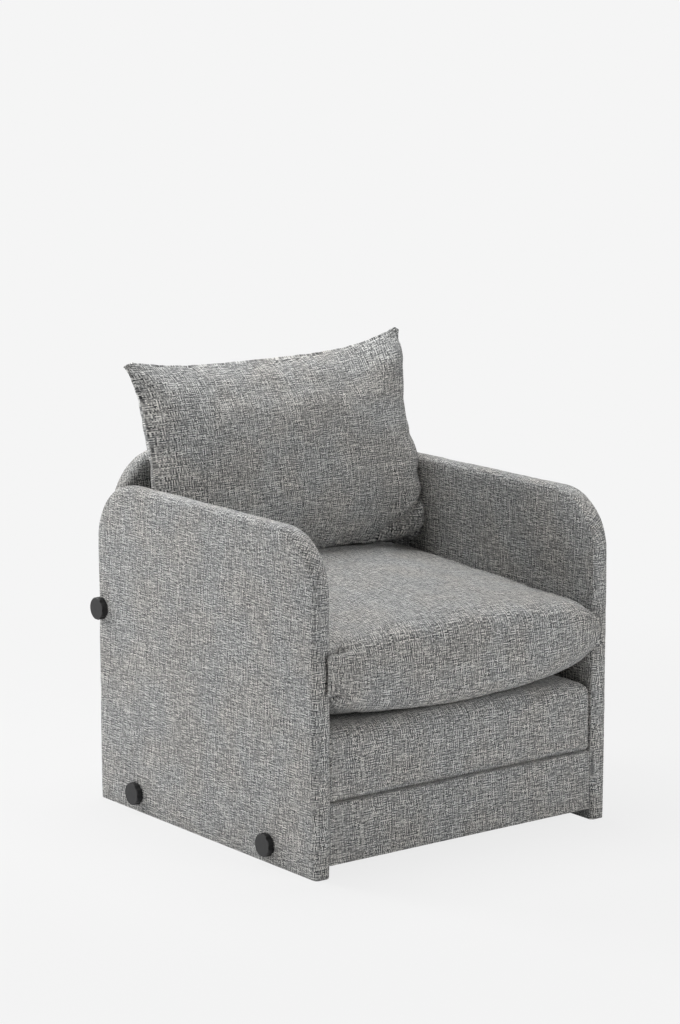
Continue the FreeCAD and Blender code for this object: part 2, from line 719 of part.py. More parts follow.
def seat_solid(inset):
    """The seat pad, crowned on top, with drawn-up lower front corners and flared upper ones."""
    half = number("sizes.bed_width / 2")
    floor = number(seat_bottom)
    seam_front = number("sizes.seat_seam_front")
    seam_rear = number("sizes.seat_seam_rear")
    crown = number("sizes.seat_crown")
    crown_rear = number("sizes.seat_crown_rear")
    lift = number("sizes.seat_corner_lift")
    bulge = number("sizes.seat_side_bulge")
    ear = number("sizes.seat_ear")
    front_bulge = number("sizes.seat_front_bulge")
    front = number(f"{arm_front} - sizes.seat_overhang")
    ear_end = front + front_bulge + number("sizes.seat_ear_depth")
    rear = number(section_rear)
    middle = (front + rear) / 2
    length = rear - front
    end_inset = number("sizes.seat_end_inset")
    end_round = number("sizes.seat_end_round")
    foot_round = number("sizes.seat_foot_round")
    # Layers further in fill the flared corners less
    flattening = 1.5
    flare = max(ear - flattening * inset, 0)
    wide = half - bulge
    seam_middle = (seam_front + seam_rear) / 2
    near = front + length / 6
    far = rear - length / 6
    low_rear = seam_rear - 2 * foot_round
    # Sections from front to rear: y, half width, side bulge, lower corner, lower middle, upper
    # corner and rise of the crown above it
    stations = (
        (front, half - end_inset, bulge, lift + foot_round, lift / 2, seam_front - end_round, crown / 4),
        (front + front_bulge, half + flare, -bulge, lift, lift / 14, seam_front, crown / 2),
        (ear_end, wide, bulge, lift * 0.6, 0, seam_front + foot_round, crown * 0.7),
        (near, wide, bulge, 2 * foot_round, 0, seam_front + 2 * foot_round, crown * 0.9),
        (middle, wide, bulge, foot_round, 0, seam_middle, crown),
        (far, wide, bulge, foot_round, 0, seam_rear, crown_rear),
        (rear - end_inset, wide - bulge, bulge, foot_round, 0, low_rear, crown_rear * 0.7),
        (rear, half - end_inset, bulge, end_round / 2, foot_round, low_rear - end_round, crown_rear / 3),
    )
    squeeze = (length - 2 * inset) / length
    wires = []
    for y, width, side, low_corner, low_middle, high_corner, rise in stations:
        y = middle + (y - middle) * squeeze
        width -= inset
        bottom = floor + low_corner + inset
        top = floor + high_corner - inset
        points = [
            Vector(-width, y, bottom),
            Vector(0, y, floor + low_middle + inset),
            Vector(width, y, bottom),
            Vector(width + side, y, (bottom + top) / 2),
            Vector(width, y, top),
            Vector(0, y, top + rise),
            Vector(-width, y, top),
            Vector(-width - side, y, (bottom + top) / 2),
        ]
        wires.append(arc_loop(points))
    return Part.makeLoft(wires, True, True)


def cushion_solid(inset):
    """The back cushion in its own upright plane: pointed upper corners and drawn-in sides."""
    half_width = number("sizes.bed_width / 2 - sizes.cushion_side_gap")
    half_height = number("sizes.cushion_height / 2")
    half_depth = number("sizes.cushion_depth / 2")
    ear_side = number("sizes.cushion_ear_side")
    ear_up = number("sizes.cushion_ear_up")
    foot_side = number("sizes.cushion_foot_side")
    foot_down = number("sizes.cushion_foot_down")
    bulge = number("sizes.cushion_side_bulge")
    # Slices from the seam outwards: share of the half depth, how far it is drawn in as a share of
    # the depth, share of the pointed corners that is left and share of the sides' bulge
    slices = ((0, 0, 1, 0), (0.42, 0.1, 0.35, 0), (0.72, 0.3, 0, 1), (0.93, 0.63, 0, 1), (1, 1, 0, 1))
    squeeze = (half_depth - inset) / half_depth
    wires = []
    for way, chosen in ((-1, slices[:0:-1]), (1, slices)):
        for share, drawn_in, corner, bulging in chosen:
            y = way * share * half_depth * squeeze
            width = half_width - 2 * half_depth * drawn_in - inset
            height = half_height - 2 * half_depth * drawn_in - inset
            spread = bulge * bulging
            top_corner = Vector(width + ear_side * corner, y, height + ear_up * corner)
            low_corner = Vector(width + foot_side * corner, y, -height - foot_down * corner)
            left_top = Vector(-top_corner.x, y, top_corner.z)
            left_low = Vector(-low_corner.x, y, low_corner.z)
            points = [
                left_low,
                Vector(0, y, -height - spread),
                low_corner,
                Vector(width + spread, y, 0),
                top_corner,
                Vector(0, y, height + spread),
                left_top,
                Vector(-width - spread, y, 0),
            ]
            wires.append(arc_loop(points))
    return Part.makeLoft(wires, True, True)


def soft_layers(solid, layers, placement=None):
    """Nested solids of one form: each layer runs from its outer inset to its inner one."""
    for node, (outer, inner) in layers.items():
        shape = solid(outer)
        if inner is not None:
            shape = shape.cut(solid(inner))
        feature = doc.addObject("Part::Feature", node)
        feature.Shape = shape
        if placement is not None:
            feature.Placement = placement
        keep(node, feature)


def seat_pad():
    cover = number("sizes.cover_thickness")
    gap = number("sizes.soft_gap")
    wadding = number("sizes.seat_wrap")
    layers = {
        "seat_cover": (0, cover),
        "seat_fibre_wrap": (cover + gap, cover + gap + wadding),
        "seat_foam": (cover + 2 * gap + wadding, None),
    }
    soft_layers(seat_solid, layers)


def back_cushion():
    """Stands on the crown of the seat pad and leans against the back panel."""
    lean = Rotation(Vector(1, 0, 0), -number("sizes.cushion_tilt"))
    cover = number("sizes.cover_thickness")
    gap = number("sizes.soft_gap")
    rest_gap = number("sizes.fold_gap")
    shift = number("sizes.cushion_shift")
    start_y = number(f"{back_front_face} - sizes.cushion_depth")
    spot = Vector(shift, start_y, number("sizes.arm_height + sizes.cushion_height"))
    outline = cushion_solid(0)
    doc.recompute()
    carriers = ((parts["seat_cover"].Shape, Vector(0, 0, -1)), (parts["back_cover"].Shape, Vector(0, 1, 0)))
    settling_steps = 12
    for _ in range(settling_steps):
        for carrier, way in carriers:
            outline.Placement = Placement(spot, lean)
            spot += way * max(outline.distToShape(carrier)[0] - rest_gap, 0)
    layers = {
        "back_cushion_cover": (0, cover),
        "back_cushion_fill": (cover + gap, None),
    }
    soft_layers(cushion_solid, layers, Placement(spot, lean))


def knob_body(name):
    """A round knob with shallow scallops, its flat underside on z = 0 and a blind hole for the stud."""
    body = doc.addObject("PartDesign::Body", name)
    sketch = new_sketch(body, "XY_Plane")
    add_circle(sketch, "sizes.knob_radius")
    pad = body.newObject("PartDesign::Pad", f"{name}_disc")
    pad.Profile = sketch
    pad.setExpression("Length", "sizes.knob_thickness")
    doc.recompute()
    top = number("sizes.knob_thickness")
    rim = [
        f"Edge{index}"
        for index, edge in enumerate(pad.Shape.Edges, start=1)
        if all(abs(vertex.Point.z - top) < 1e-6 for vertex in edge.Vertexes)
    ]
    fillet = body.newObject("PartDesign::Fillet", f"{name}_rim")
    fillet.Base = (pad, rim)
    fillet.setExpression("Radius", "sizes.knob_edge")

    scallop_sketch = new_sketch(body, "XY_Plane")
    distance = "(sizes.knob_radius + sizes.scallop_radius - sizes.scallop_depth)"
    add_circle(scallop_sketch, "sizes.scallop_radius", distance)
    scallop = body.newObject("PartDesign::Pocket", f"{name}_scallop")
    scallop.Profile = scallop_sketch
    scallop.Reversed = True
    scallop.setExpression("Length", "sizes.knob_thickness")
    doc.recompute()
    pattern = body.newObject("PartDesign::PolarPattern", f"{name}_scallops")
    pattern.Originals = [scallop]
    pattern.Axis = (origin_feature(body, "Z_Axis"), [""])
    pattern.Angle = 360
    pattern.setExpression("Occurrences", "sizes.scallop_count")
    body.Tip = pattern

    hole_sketch = new_sketch(body, "XY_Plane")
    add_circle(hole_sketch, "(sizes.stud_radius + sizes.thread_clearance)")
    hole = body.newObject("PartDesign::Pocket", f"{name}_stud_hole")
    hole.Profile = hole_sketch
    hole.Reversed = True
    hole.setExpression("Length", "sizes.stud_grip")
    body.Tip = hole
    return body


def clamp_knobs():
    """On each arm three knobs, each with a washer under it and a threaded stud through the arm."""
    for side, sign in sides.items():
        for name, (y, z) in studs.items():
            label = f"{side}_{name}"
            knob = knob_body(f"{label}_knob")
            knob.Placement = Placement(Vector(), turns[outward[side]])
            place(knob, f"({sign} * {washer_face})", y, z)
            keep(f"{label}_knob", knob)

            face = f"({sign} * {arm_outer_face})"
            disc_size = ("sizes.washer_radius", "sizes.washer_thickness")
            disc = rod(f"{label}_washer_disc", outward[side], *disc_size, face, y, z)
            bore_size = ("(sizes.stud_radius + sizes.seat_fit)", "sizes.washer_thickness")
            bore = rod(f"{label}_washer_bore", outward[side], *bore_size, face, y, z)
            keep(f"{label}_washer", cut(f"{label}_washer", disc, [bore]))

            tip = f"({sign} * {stud_tip})"
            stud = rod(f"{label}_stud", outward[side], "sizes.stud_radius", "sizes.stud_length", tip, y, z)
            keep(f"{label}_stud", stud)


for arm_side in sides:
    arm(arm_side)
back_panel()
back_nuts_and_bolts()
base_frame()
base_nuts()
base_feet()
base_soft_parts()
middle_section()
cloth_hinges()
seat_pad()
back_cushion()
clamp_knobs()
doc.recompute()

faults = [
    f"{item.Label}: {', '.join(item.State)}"
    for item in doc.Objects
    if "Invalid" in item.State or "Error" in item.State
]
for node, item in parts.items():
    if item.Shape.isNull() or not item.Shape.isValid():
        faults.append(f"{node}: shape is null or not valid")
    elif item.Shape.Volume <= 0 or not item.Shape.Solids:
        faults.append(f"{node}: shape has no solid")
if faults:
    raise RuntimeError("; ".join(faults))

os.makedirs("parts", exist_ok=True)
for node, item in parts.items():
    item.Shape.exportStep(os.path.join("parts", f"{node}.step"))
    solids = item.Shape.Solids
    print(f"{node}: {len(solids)} solid(s), {sum(solid.Volume for solid in solids):.0f} cubic mm")
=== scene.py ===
import json
import math

import bmesh
import bpy
import numpy as np
from mathutils import Matrix, Vector
from mathutils.bvhtree import BVHTree


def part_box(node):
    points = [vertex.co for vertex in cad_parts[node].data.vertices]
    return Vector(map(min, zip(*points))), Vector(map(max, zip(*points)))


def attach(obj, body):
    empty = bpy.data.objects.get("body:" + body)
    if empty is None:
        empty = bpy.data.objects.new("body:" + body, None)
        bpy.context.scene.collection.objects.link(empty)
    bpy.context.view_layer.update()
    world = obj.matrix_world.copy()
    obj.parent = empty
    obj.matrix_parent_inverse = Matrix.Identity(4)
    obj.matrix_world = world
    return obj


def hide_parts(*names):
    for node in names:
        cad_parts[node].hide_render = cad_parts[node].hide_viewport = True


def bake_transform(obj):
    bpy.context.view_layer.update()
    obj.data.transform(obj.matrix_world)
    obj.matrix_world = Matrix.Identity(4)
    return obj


# Convertible chair bed in its photographed looks. X runs to the right, Y to the back and Z up, in metres.

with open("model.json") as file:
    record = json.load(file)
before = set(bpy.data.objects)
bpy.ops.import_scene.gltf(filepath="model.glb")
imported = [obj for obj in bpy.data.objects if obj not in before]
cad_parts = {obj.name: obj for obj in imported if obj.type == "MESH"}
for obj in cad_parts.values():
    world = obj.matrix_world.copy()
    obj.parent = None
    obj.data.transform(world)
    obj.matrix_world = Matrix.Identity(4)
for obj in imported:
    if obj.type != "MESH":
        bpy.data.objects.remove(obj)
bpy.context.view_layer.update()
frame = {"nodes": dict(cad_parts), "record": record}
nodes = frame["nodes"]
scene = bpy.context.scene
mm = 0.001
print("frame loaded:", len(nodes), "nodes")


# Colours and nodes

def linear(hexColour):
    # sRGB hex to the linear values that sockets take
    parts = [int(hexColour[i:i + 2], 16) / 255 for i in (1, 3, 5)]
    return tuple(p / 12.92 if p <= 0.04045 else ((p + 0.055) / 1.055) ** 2.4 for p in parts) + (1.0,)


def addNode(tree, kind, inputs=None, stops=(), **settings):
    # one node with its settings; an input is a value, the socket that feeds it, or a node whose first
    # output does; stops are the places and colours of a colour ramp
    node = tree.nodes.new(kind)
    for name, value in settings.items():
        setattr(node, name, value)
    for name, value in (inputs or {}).items():
        if isinstance(value, bpy.types.Node):
            value = value.outputs[0]
        if isinstance(value, bpy.types.NodeSocket):
            tree.links.new(value, node.inputs[name])
        else:
            node.inputs[name].default_value = value
    for i, (position, colour) in enumerate(stops):
        elements = node.color_ramp.elements
        element = elements[i] if i < 2 else elements.new(position)
        element.position = position
        element.color = linear(colour)
    return node


def newMaterial(name):
    material = bpy.data.materials.new(name)
    material.use_nodes = True
    tree = material.node_tree
    tree.nodes.clear()
    shader = addNode(tree, "ShaderNodeBsdfPrincipled")
    addNode(tree, "ShaderNodeOutputMaterial", {"Surface": shader})
    return material, tree, shader


# Camera, light and floor

cameraPlace = {
    "position": (-3.6298, -4.7652, 1.7161),  # metres
    "yaw": 37.12,    # degrees to the right of straight ahead
    "pitch": 10.81,  # degrees down
    "lens": 114.3,   # mm, on a sensor 36 mm long
}
yaw = math.radians(cameraPlace["yaw"])
pitch = math.radians(cameraPlace["pitch"])
lookAlong = Vector((math.sin(yaw) * math.cos(pitch), math.cos(yaw) * math.cos(pitch), -math.sin(pitch)))
camera = bpy.data.objects.new("camera", bpy.data.cameras.new("camera"))
scene.collection.objects.link(camera)
camera.location = cameraPlace["position"]
camera.rotation_mode = "QUATERNION"
camera.rotation_quaternion = lookAlong.to_track_quat("-Z", "Y")
camera.data.sensor_width = 36
camera.data.lens = cameraPlace["lens"]
scene.camera = camera
scene.view_settings.view_transform = "Standard"

studio = {
    "backdrop": "#F5F5F5",
    "skyStrength": 0.1,
    "floorColour": "#EDEDED",
    "floorHalf": 30,   # metres
    "floorSee": 0.12,  # share of the floor's own shading that the camera sees near the chair
    "floorFade": (0.7, 1.9),  # metres from the chair over which that share runs out
    # softboxes: place, aim, side length in metres, power in watts
    "softboxes": {
        "leftSoftbox": ((-3.1, 0.1, 0.6), (0, 0, 0.4), 1.4, 22),
        "topSoftbox": ((0, 0.5, 2.8), (0, 0, 0.4), 1.6, 53),
        "frontSoftbox": ((0.8, -3.1, 1.35), (0, 0, 0.3), 1.3, 35),
        "rearSoftbox": ((-1.3, 2.4, 1.7), (0, 0.1, 0.7), 1.0, 46),
    },
}
for name, (spot, aim, side, power) in studio["softboxes"].items():
    lamp = bpy.data.objects.new(name, bpy.data.lights.new(name, "AREA"))
    lamp.data.shape = "SQUARE"
    lamp.data.size = side
    lamp.data.energy = power
    lamp.location = spot
    lamp.rotation_mode = "QUATERNION"
    lamp.rotation_quaternion = (Vector(aim) - Vector(spot)).to_track_quat("-Z", "Y")
    scene.collection.objects.link(lamp)


def seenDirectly(tree):
    # 1 for the rays that show the background itself: from the camera, off gloss and through glass
    path = addNode(tree, "ShaderNodeLightPath")
    gloss = addNode(tree, "ShaderNodeMath", {
        0: path.outputs["Is Camera Ray"],
        1: path.outputs["Is Glossy Ray"],
    }, operation="MAXIMUM")
    return addNode(tree, "ShaderNodeMath", {
        0: gloss,
        1: path.outputs["Is Transmission Ray"],
    }, operation="MAXIMUM")


world = bpy.data.worlds.new("studio")
scene.world = world
world.use_nodes = True
tree = world.node_tree
tree.nodes.clear()
backdrop = linear(studio["backdrop"])
seen = seenDirectly(tree)
skyLight = addNode(tree, "ShaderNodeBackground", {
    "Color": linear("#FFFFFF"),
    "Strength": studio["skyStrength"],
})
skyShown = addNode(tree, "ShaderNodeBackground", {"Color": backdrop, "Strength": 1.0})
skyMix = addNode(tree, "ShaderNodeMixShader", {0: seen, 1: skyLight, 2: skyShown})
addNode(tree, "ShaderNodeOutputWorld", {"Surface": skyMix})

# a plain floor that keeps the chair's shadow and fades into the backdrop further out
floorMesh = bpy.data.meshes.new("floor")
reach = studio["floorHalf"]
floorCorners = [(-reach, -reach, 0), (reach, -reach, 0), (reach, reach, 0), (-reach, reach, 0)]
floorMesh.from_pydata(floorCorners, [], [(0, 1, 2, 3)])
floor = bpy.data.objects.new("floor", floorMesh)
scene.collection.objects.link(floor)
floorMaterial = bpy.data.materials.new("pale floor")
floorMaterial.use_nodes = True
tree = floorMaterial.node_tree
tree.nodes.clear()
seen = seenDirectly(tree)
matte = addNode(tree, "ShaderNodeBsdfDiffuse", {"Color": linear(studio["floorColour"])})
glow = addNode(tree, "ShaderNodeEmission", {"Color": backdrop, "Strength": 1.0})
place = addNode(tree, "ShaderNodeTexCoord").outputs["Object"]
away = addNode(tree, "ShaderNodeVectorMath", {0: place}, operation="LENGTH")
fade = addNode(tree, "ShaderNodeMapRange", {
    0: away.outputs["Value"],
    1: studio["floorFade"][0],
    2: studio["floorFade"][1],
    3: 1 - studio["floorSee"],
    4: 1.0,
}, interpolation_type="SMOOTHSTEP")
share = addNode(tree, "ShaderNodeMath", {0: seen, 1: fade}, operation="MULTIPLY")
floorMix = addNode(tree, "ShaderNodeMixShader", {0: share, 1: matte, 2: glow})
addNode(tree, "ShaderNodeOutputMaterial", {"Surface": floorMix})
floorMesh.materials.append(floorMaterial)
print("camera, lights and floor made")


# Materials

# Linen-look upholstery cloth, plain weave of melange polyester yarn: light and dark flecks with short
# slubs, matt. Its real threads are about 1.2 mm wide; they are drawn at almost twice that, because
# finer ones would average out to a flat grey.
cloth = {
    "thread": 2.2 * mm,
    "yarnLength": 8,    # threads' widths between light and dark yarn along one thread
    "slubLength": 20,   # the same for the few long slubs
    "sway": 0.25,       # how far threads wander, in threads
    "swayScale": 0.11,
    "fleck": 0.17,      # contrast from one crossing to the next
    "patch": 0.012,     # contrast of faint patches 4 cm wide
    "slub": 0.26,
    "slubFrom": (0.62, 0.70),
    "tones": [(0.27, "#3E3F41"), (0.50, "#929291"), (0.73, "#EAE9E5")],
    "clouds": [(0.38, "#9B9A99"), (0.62, "#999A9B")],
    "cloudMean": "#9A9A9A",
    "grooveShade": 0.72,
    "relief": 0.55 * mm,
    "shader": {"Roughness": 0.88, "Specular IOR Level": 0.25, "Sheen Weight": 0.12, "Sheen Roughness": 0.5},
}


def wovenCloth(name):
    material, tree, shader = newMaterial(name)
    place = addNode(tree, "ShaderNodeUVMap", uv_map="weave")
    threads = addNode(tree, "ShaderNodeVectorMath", {0: place, 3: 1 / cloth["thread"]}, operation="SCALE")
    drift = addNode(tree, "ShaderNodeTexNoise", {
        "Vector": threads,
        "Scale": cloth["swayScale"],
        "Detail": 2.0,
    }, noise_dimensions="2D")
    centred = addNode(tree, "ShaderNodeVectorMath", {
        0: drift.outputs["Color"],
        1: (0.5, 0.5, 0.5),
    }, operation="SUBTRACT")
    swayed = addNode(tree, "ShaderNodeVectorMath", {
        0: centred,
        1: (cloth["sway"] * 4,) * 3,
        2: threads,
    }, operation="MULTIPLY_ADD")
    across = addNode(tree, "ShaderNodeSeparateXYZ", {0: swayed})
    values = {"u": across.outputs[0], "v": across.outputs[1]}

    # each step names its result, its operation and its terms; warp and weft take turns on top
    steps = [
        ("warpNumber", "FLOOR", "u"),
        ("weftNumber", "FLOOR", "v"),
        ("crossing", "ADD", "warpNumber", "weftNumber"),
        ("weftOnTop", "PINGPONG", "crossing", 1.0),
        ("warpOnTop", "SUBTRACT", 1.0, "weftOnTop"),
    ]
    # light and dark yarn along each thread; of two neighbours one is as light as the other is dark,
    # which keeps large patches out
    for yarn, number, along, length, seed in (
        ("warpTone", "warpNumber", "v", cloth["yarnLength"], 3.1),
        ("weftTone", "weftNumber", "u", cloth["yarnLength"], 17.9),
        ("warpSlub", "warpNumber", "v", cloth["slubLength"], 41.3),
        ("weftSlub", "weftNumber", "u", cloth["slubLength"], 77.7),
    ):
        steps += [
            ("half", "MULTIPLY", number, 0.5),
            ("pair", "FLOOR", "half"),
            ("odd", "MULTIPLY_ADD", "pair", -2.0, number),
            ("x", "MULTIPLY_ADD", "pair", 5.37, seed),
            ("y", "DIVIDE", along, length),
            ("shade", "NOISE", "x", "y"),
            ("centred", "SUBTRACT", "shade", 0.5),
            ("way", "MULTIPLY_ADD", "odd", -2.0, 1.0),
            ("swing", "MULTIPLY", "centred", "way"),
            (yarn, "ADD", "swing", 0.5),
        ]
    for shown in ("Tone", "Slub"):
        steps += [
            ("warpShare", "MULTIPLY", f"warp{shown}", "warpOnTop"),
            ("weftShare", "MULTIPLY", f"weft{shown}", "weftOnTop"),
            (f"cloth{shown}", "ADD", "warpShare", "weftShare"),
        ]
    # threads are round, and dive under each other at every crossing
    for thread, along in (("warp", "u"), ("weft", "v")):
        steps += [
            ("part", "FRACT", along),
            ("angle", "MULTIPLY", "part", math.pi),
            (f"{thread}Round", "SINE", "angle"),
        ]
    steps.append(("height", "MULTIPLY", "warpRound", "weftRound"))
    for result, operation, *terms in steps:
        inputs = {i: values.get(term, term) for i, term in enumerate(terms)}
        if operation == "NOISE":
            spot = addNode(tree, "ShaderNodeCombineXYZ", inputs)
            noise = {"Vector": spot, "Scale": 1.0, "Detail": 1.0}
            values[result] = addNode(tree, "ShaderNodeTexNoise", noise, noise_dimensions="2D")
        else:
            values[result] = addNode(tree, "ShaderNodeMath", inputs, operation=operation)

    longSlub = addNode(tree, "ShaderNodeMapRange", {
        0: values["clothSlub"],
        1: cloth["slubFrom"][0],
        2: cloth["slubFrom"][1],
        3: 0.0,
        4: cloth["slub"],
    })
    crossing = addNode(tree, "ShaderNodeCombineXYZ", {0: values["warpNumber"], 1: values["weftNumber"]})
    fleck = addNode(tree, "ShaderNodeTexWhiteNoise", {"Vector": crossing}, noise_dimensions="2D")
    patch = addNode(tree, "ShaderNodeTexNoise", {
        "Vector": place,
        "Scale": 24.0,
        "Detail": 2.0,
    }, noise_dimensions="2D")
    total = values["clothTone"]
    for unevenness, contrast in ((fleck, cloth["fleck"]), (patch, cloth["patch"])):
        centred = addNode(tree, "ShaderNodeMath", {0: unevenness, 1: 0.5}, operation="SUBTRACT")
        total = addNode(tree, "ShaderNodeMath", {0: centred, 1: contrast, 2: total}, operation="MULTIPLY_ADD")
    whole = addNode(tree, "ShaderNodeMath", {0: total, 1: longSlub}, operation="ADD")
    colour = addNode(tree, "ShaderNodeValToRGB", {"Fac": whole}, stops=cloth["tones"])
    # painted shade: where the thread height falls into the grooves between threads, the colour is darkened
    # down to grooveShade
    groove = addNode(tree, "ShaderNodeMapRange", {
        0: values["height"],
        1: 0.0,
        2: 0.6,
        3: cloth["grooveShade"],
        4: 1.0,
    })
    # faint warm and cool clouds from dye lots in the yarn
    cloud = addNode(tree, "ShaderNodeTexNoise", {
        "Vector": place,
        "Scale": 9.0,
        "Detail": 3.0,
    }, noise_dimensions="2D")
    tint = addNode(tree, "ShaderNodeValToRGB", {"Fac": cloud}, stops=cloth["clouds"])
    # of a colour mix, inputs 6 and 7 and output 2 are the colours
    shaded = addNode(tree, "ShaderNodeMix", {
        0: 1.0,
        6: colour,
        7: groove,
    }, data_type="RGBA", blend_type="MULTIPLY")
    evened = addNode(tree, "ShaderNodeMix", {
        0: 1.0,
        6: tint,
        7: linear(cloth["cloudMean"]),
    }, data_type="RGBA", blend_type="DIVIDE")
    tinted = addNode(tree, "ShaderNodeMix", {
        0: 1.0,
        6: shaded.outputs[2],
        7: evened.outputs[2],
    }, data_type="RGBA", blend_type="MULTIPLY")
    tree.links.new(tinted.outputs[2], shader.inputs["Base Color"])
    relief = addNode(tree, "ShaderNodeMath", {
        0: whole,
        1: 0.8,
        2: values["height"],
    }, operation="MULTIPLY_ADD")
    bump = addNode(tree, "ShaderNodeBump", {"Strength": 0.5, "Distance": cloth["relief"], "Height": relief})
    tree.links.new(bump.outputs[0], shader.inputs["Normal"])
    for socket, value in cloth["shader"].items():
        shader.inputs[socket].default_value = value
    return material


# The plainer materials: a pattern over object coordinates gives colour and, in most, relief.
# Scales are per metre, bumps are strength and depth, and a pair for roughness follows the pattern.
surfaces = {
    # cut polyurethane foam: open cells of about 1.4 mm, slightly yellowed
    "foam": {
        "name": "polyurethane foam, cut",
        "pattern": ("ShaderNodeTexVoronoi", {"Scale": 700.0}),
        "stops": [(0.0, "#D8CDA8"), (0.6, "#EFE7CB")],
        "bump": (0.6, 0.6 * mm),
        "roughness": 0.95,
    },
    # polyester fibre fill: white, matted threads
    "fibre": {
        "name": "polyester fibre, carded",
        "pattern": ("ShaderNodeTexNoise", {"Scale": 160.0, "Detail": 6.0, "Distortion": 2.5}),
        "stops": [(0.3, "#D9D9D6"), (0.7, "#F7F7F5")],
        "bump": (0.7, 1.2 * mm),
        "roughness": 0.95,
    },
    # birch plywood: pale face with a long grain
    "board": {
        "name": "birch plywood, sanded",
        "stretch": (60.0, 5.0, 60.0),
        "pattern": ("ShaderNodeTexNoise", {"Scale": 1.0, "Detail": 5.0, "Distortion": 0.6}),
        "stops": [(0.3, "#B99A6C"), (0.5, "#D2B68A"), (0.7, "#E0C9A2")],
        "bump": (0.2, 0.2 * mm),
        "roughness": 0.6,
    },
    # planed pine: yearly rings as bands along the rail
    "pineAlongX": {
        "name": "pine, planed, along x",
        "stretch": (1.5, 30.0, 30.0),
    },
    "pineAlongY": {
        "name": "pine, planed, along y",
        "stretch": (30.0, 1.5, 30.0),
    },
    # spunbonded polypropylene: thin black cloth with a fine bonded dot pattern
    "dust_cloth": {
        "name": "polypropylene, spunbonded",
        "pattern": ("ShaderNodeTexVoronoi", {"Scale": 380.0, "Randomness": 0.15}),
        "stops": [(0.1, "#1B1B1C"), (0.5, "#2C2C2D")],
        "bump": (0.5, 0.3 * mm),
        "roughness": 0.85,
    },
    # moulded glass-filled nylon: near black, with a fine spark-eroded grain that scuffs lighter
    "black_plastic": {
        "name": "nylon, moulded black",
        "pattern": ("ShaderNodeTexNoise", {"Scale": 90.0, "Detail": 5.0}),
        "stops": [(0.35, "#101011"), (0.62, "#151516"), (0.72, "#222223")],
        "grain": ("ShaderNodeTexNoise", {"Scale": 1400.0, "Detail": 2.0}),
        "bump": (0.25, 0.1 * mm),
        "roughness": (0.38, 0.55),
    },
    # bright zinc plate on steel: grey with faint cloudy spangle
    "zinc_steel": {
        "name": "steel, zinc plated",
        "pattern": ("ShaderNodeTexNoise", {"Scale": 240.0, "Detail": 4.0}),
        "stops": [(0.3, "#9C9EA1"), (0.7, "#C3C5C7")],
        "roughness": (0.28, 0.42),
        "metallic": 1.0,
    },
    # spun polyester sewing thread, a little lighter than the cloth, with a fine twist
    "thread": {
        "name": "polyester thread, spun",
        "pattern": ("ShaderNodeTexNoise", {"Scale": 900.0, "Detail": 2.0}),
        "stops": [(0.35, "#7E7E7D"), (0.65, "#B4B4B1")],
        "roughness": 0.75,
    },
}
pine = {
    "pattern": ("ShaderNodeTexWave", {"Scale": 1.6, "Distortion": 6.0, "Detail": 3.0, "Detail Scale": 0.6}),
    "settings": {"bands_direction": "Z"},
    "stops": [(0.0, "#D9B57C"), (0.7, "#E7CB98"), (1.0, "#B98A50")],
    "bump": (0.25, 0.3 * mm),
    "roughness": 0.55,
}
for along in ("pineAlongX", "pineAlongY"):
    surfaces[along].update(pine)


def patterned(surface):
    material, tree, shader = newMaterial(surface["name"])
    place = addNode(tree, "ShaderNodeTexCoord").outputs["Object"]
    if "stretch" in surface:
        place = addNode(tree, "ShaderNodeMapping", {"Vector": place, "Scale": surface["stretch"]})
    heights = []
    for key in ("pattern", "grain"):
        if key in surface:
            kind, inputs = surface[key]
            texture = addNode(tree, kind, {"Vector": place, **inputs}, **surface.get("settings", {}))
            heights.append(texture.outputs["Distance" if "Voronoi" in kind else "Fac"])
    colour = addNode(tree, "ShaderNodeValToRGB", {"Fac": heights[0]}, stops=surface["stops"])
    tree.links.new(colour.outputs["Color"], shader.inputs["Base Color"])
    if "bump" in surface:
        strength, depth = surface["bump"]
        bump = addNode(tree, "ShaderNodeBump", {
            "Strength": strength,
            "Distance": depth,
            "Height": heights[-1],
        })
        tree.links.new(bump.outputs[0], shader.inputs["Normal"])
    if isinstance(surface["roughness"], tuple):
        least, most = surface["roughness"]
        rough = addNode(tree, "ShaderNodeMapRange", {0: heights[0], 1: 0.3, 2: 0.7, 3: least, 4: most})
        tree.links.new(rough.outputs[0], shader.inputs["Roughness"])
    else:
        shader.inputs["Roughness"].default_value = surface["roughness"]
    shader.inputs["Metallic"].default_value = surface.get("metallic", 0.0)
    return material


weave = wovenCloth("polyester linen-look cloth, woven")
finishes = {name: patterned(surface) for name, surface in surfaces.items()}
finishes["woven_cover"] = weave
for row in frame["record"]["subparts"]:
    node, slotName = row["node"], row["material_slot"]
    if slotName == "pine":
        slotName = "pineAlongY" if node in ("base_left_rail", "base_right_rail") else "pineAlongX"
    nodes[node].data.materials.clear()
    nodes[node].data.materials.append(finishes[slotName])
print("materials made")


# Shared shape code

def ripple(points, wavelength, seed, waves=8):
    # smooth unevenness: a few sine waves in fixed random directions, about -1 to 1
    random = np.random.default_rng(seed)
    total = np.zeros(len(points))
    for _ in range(waves):
        direction = random.normal(size=3)
        direction *= 2 * math.pi / (np.linalg.norm(direction) * wavelength * random.uniform(0.6, 1.5))
        total += np.sin(points @ direction + random.uniform(0, 2 * math.pi))
    return total / math.sqrt(waves)


def smooth(x):
    x = np.clip(x, 0, 1)
    return x * x * (3 - 2 * x)


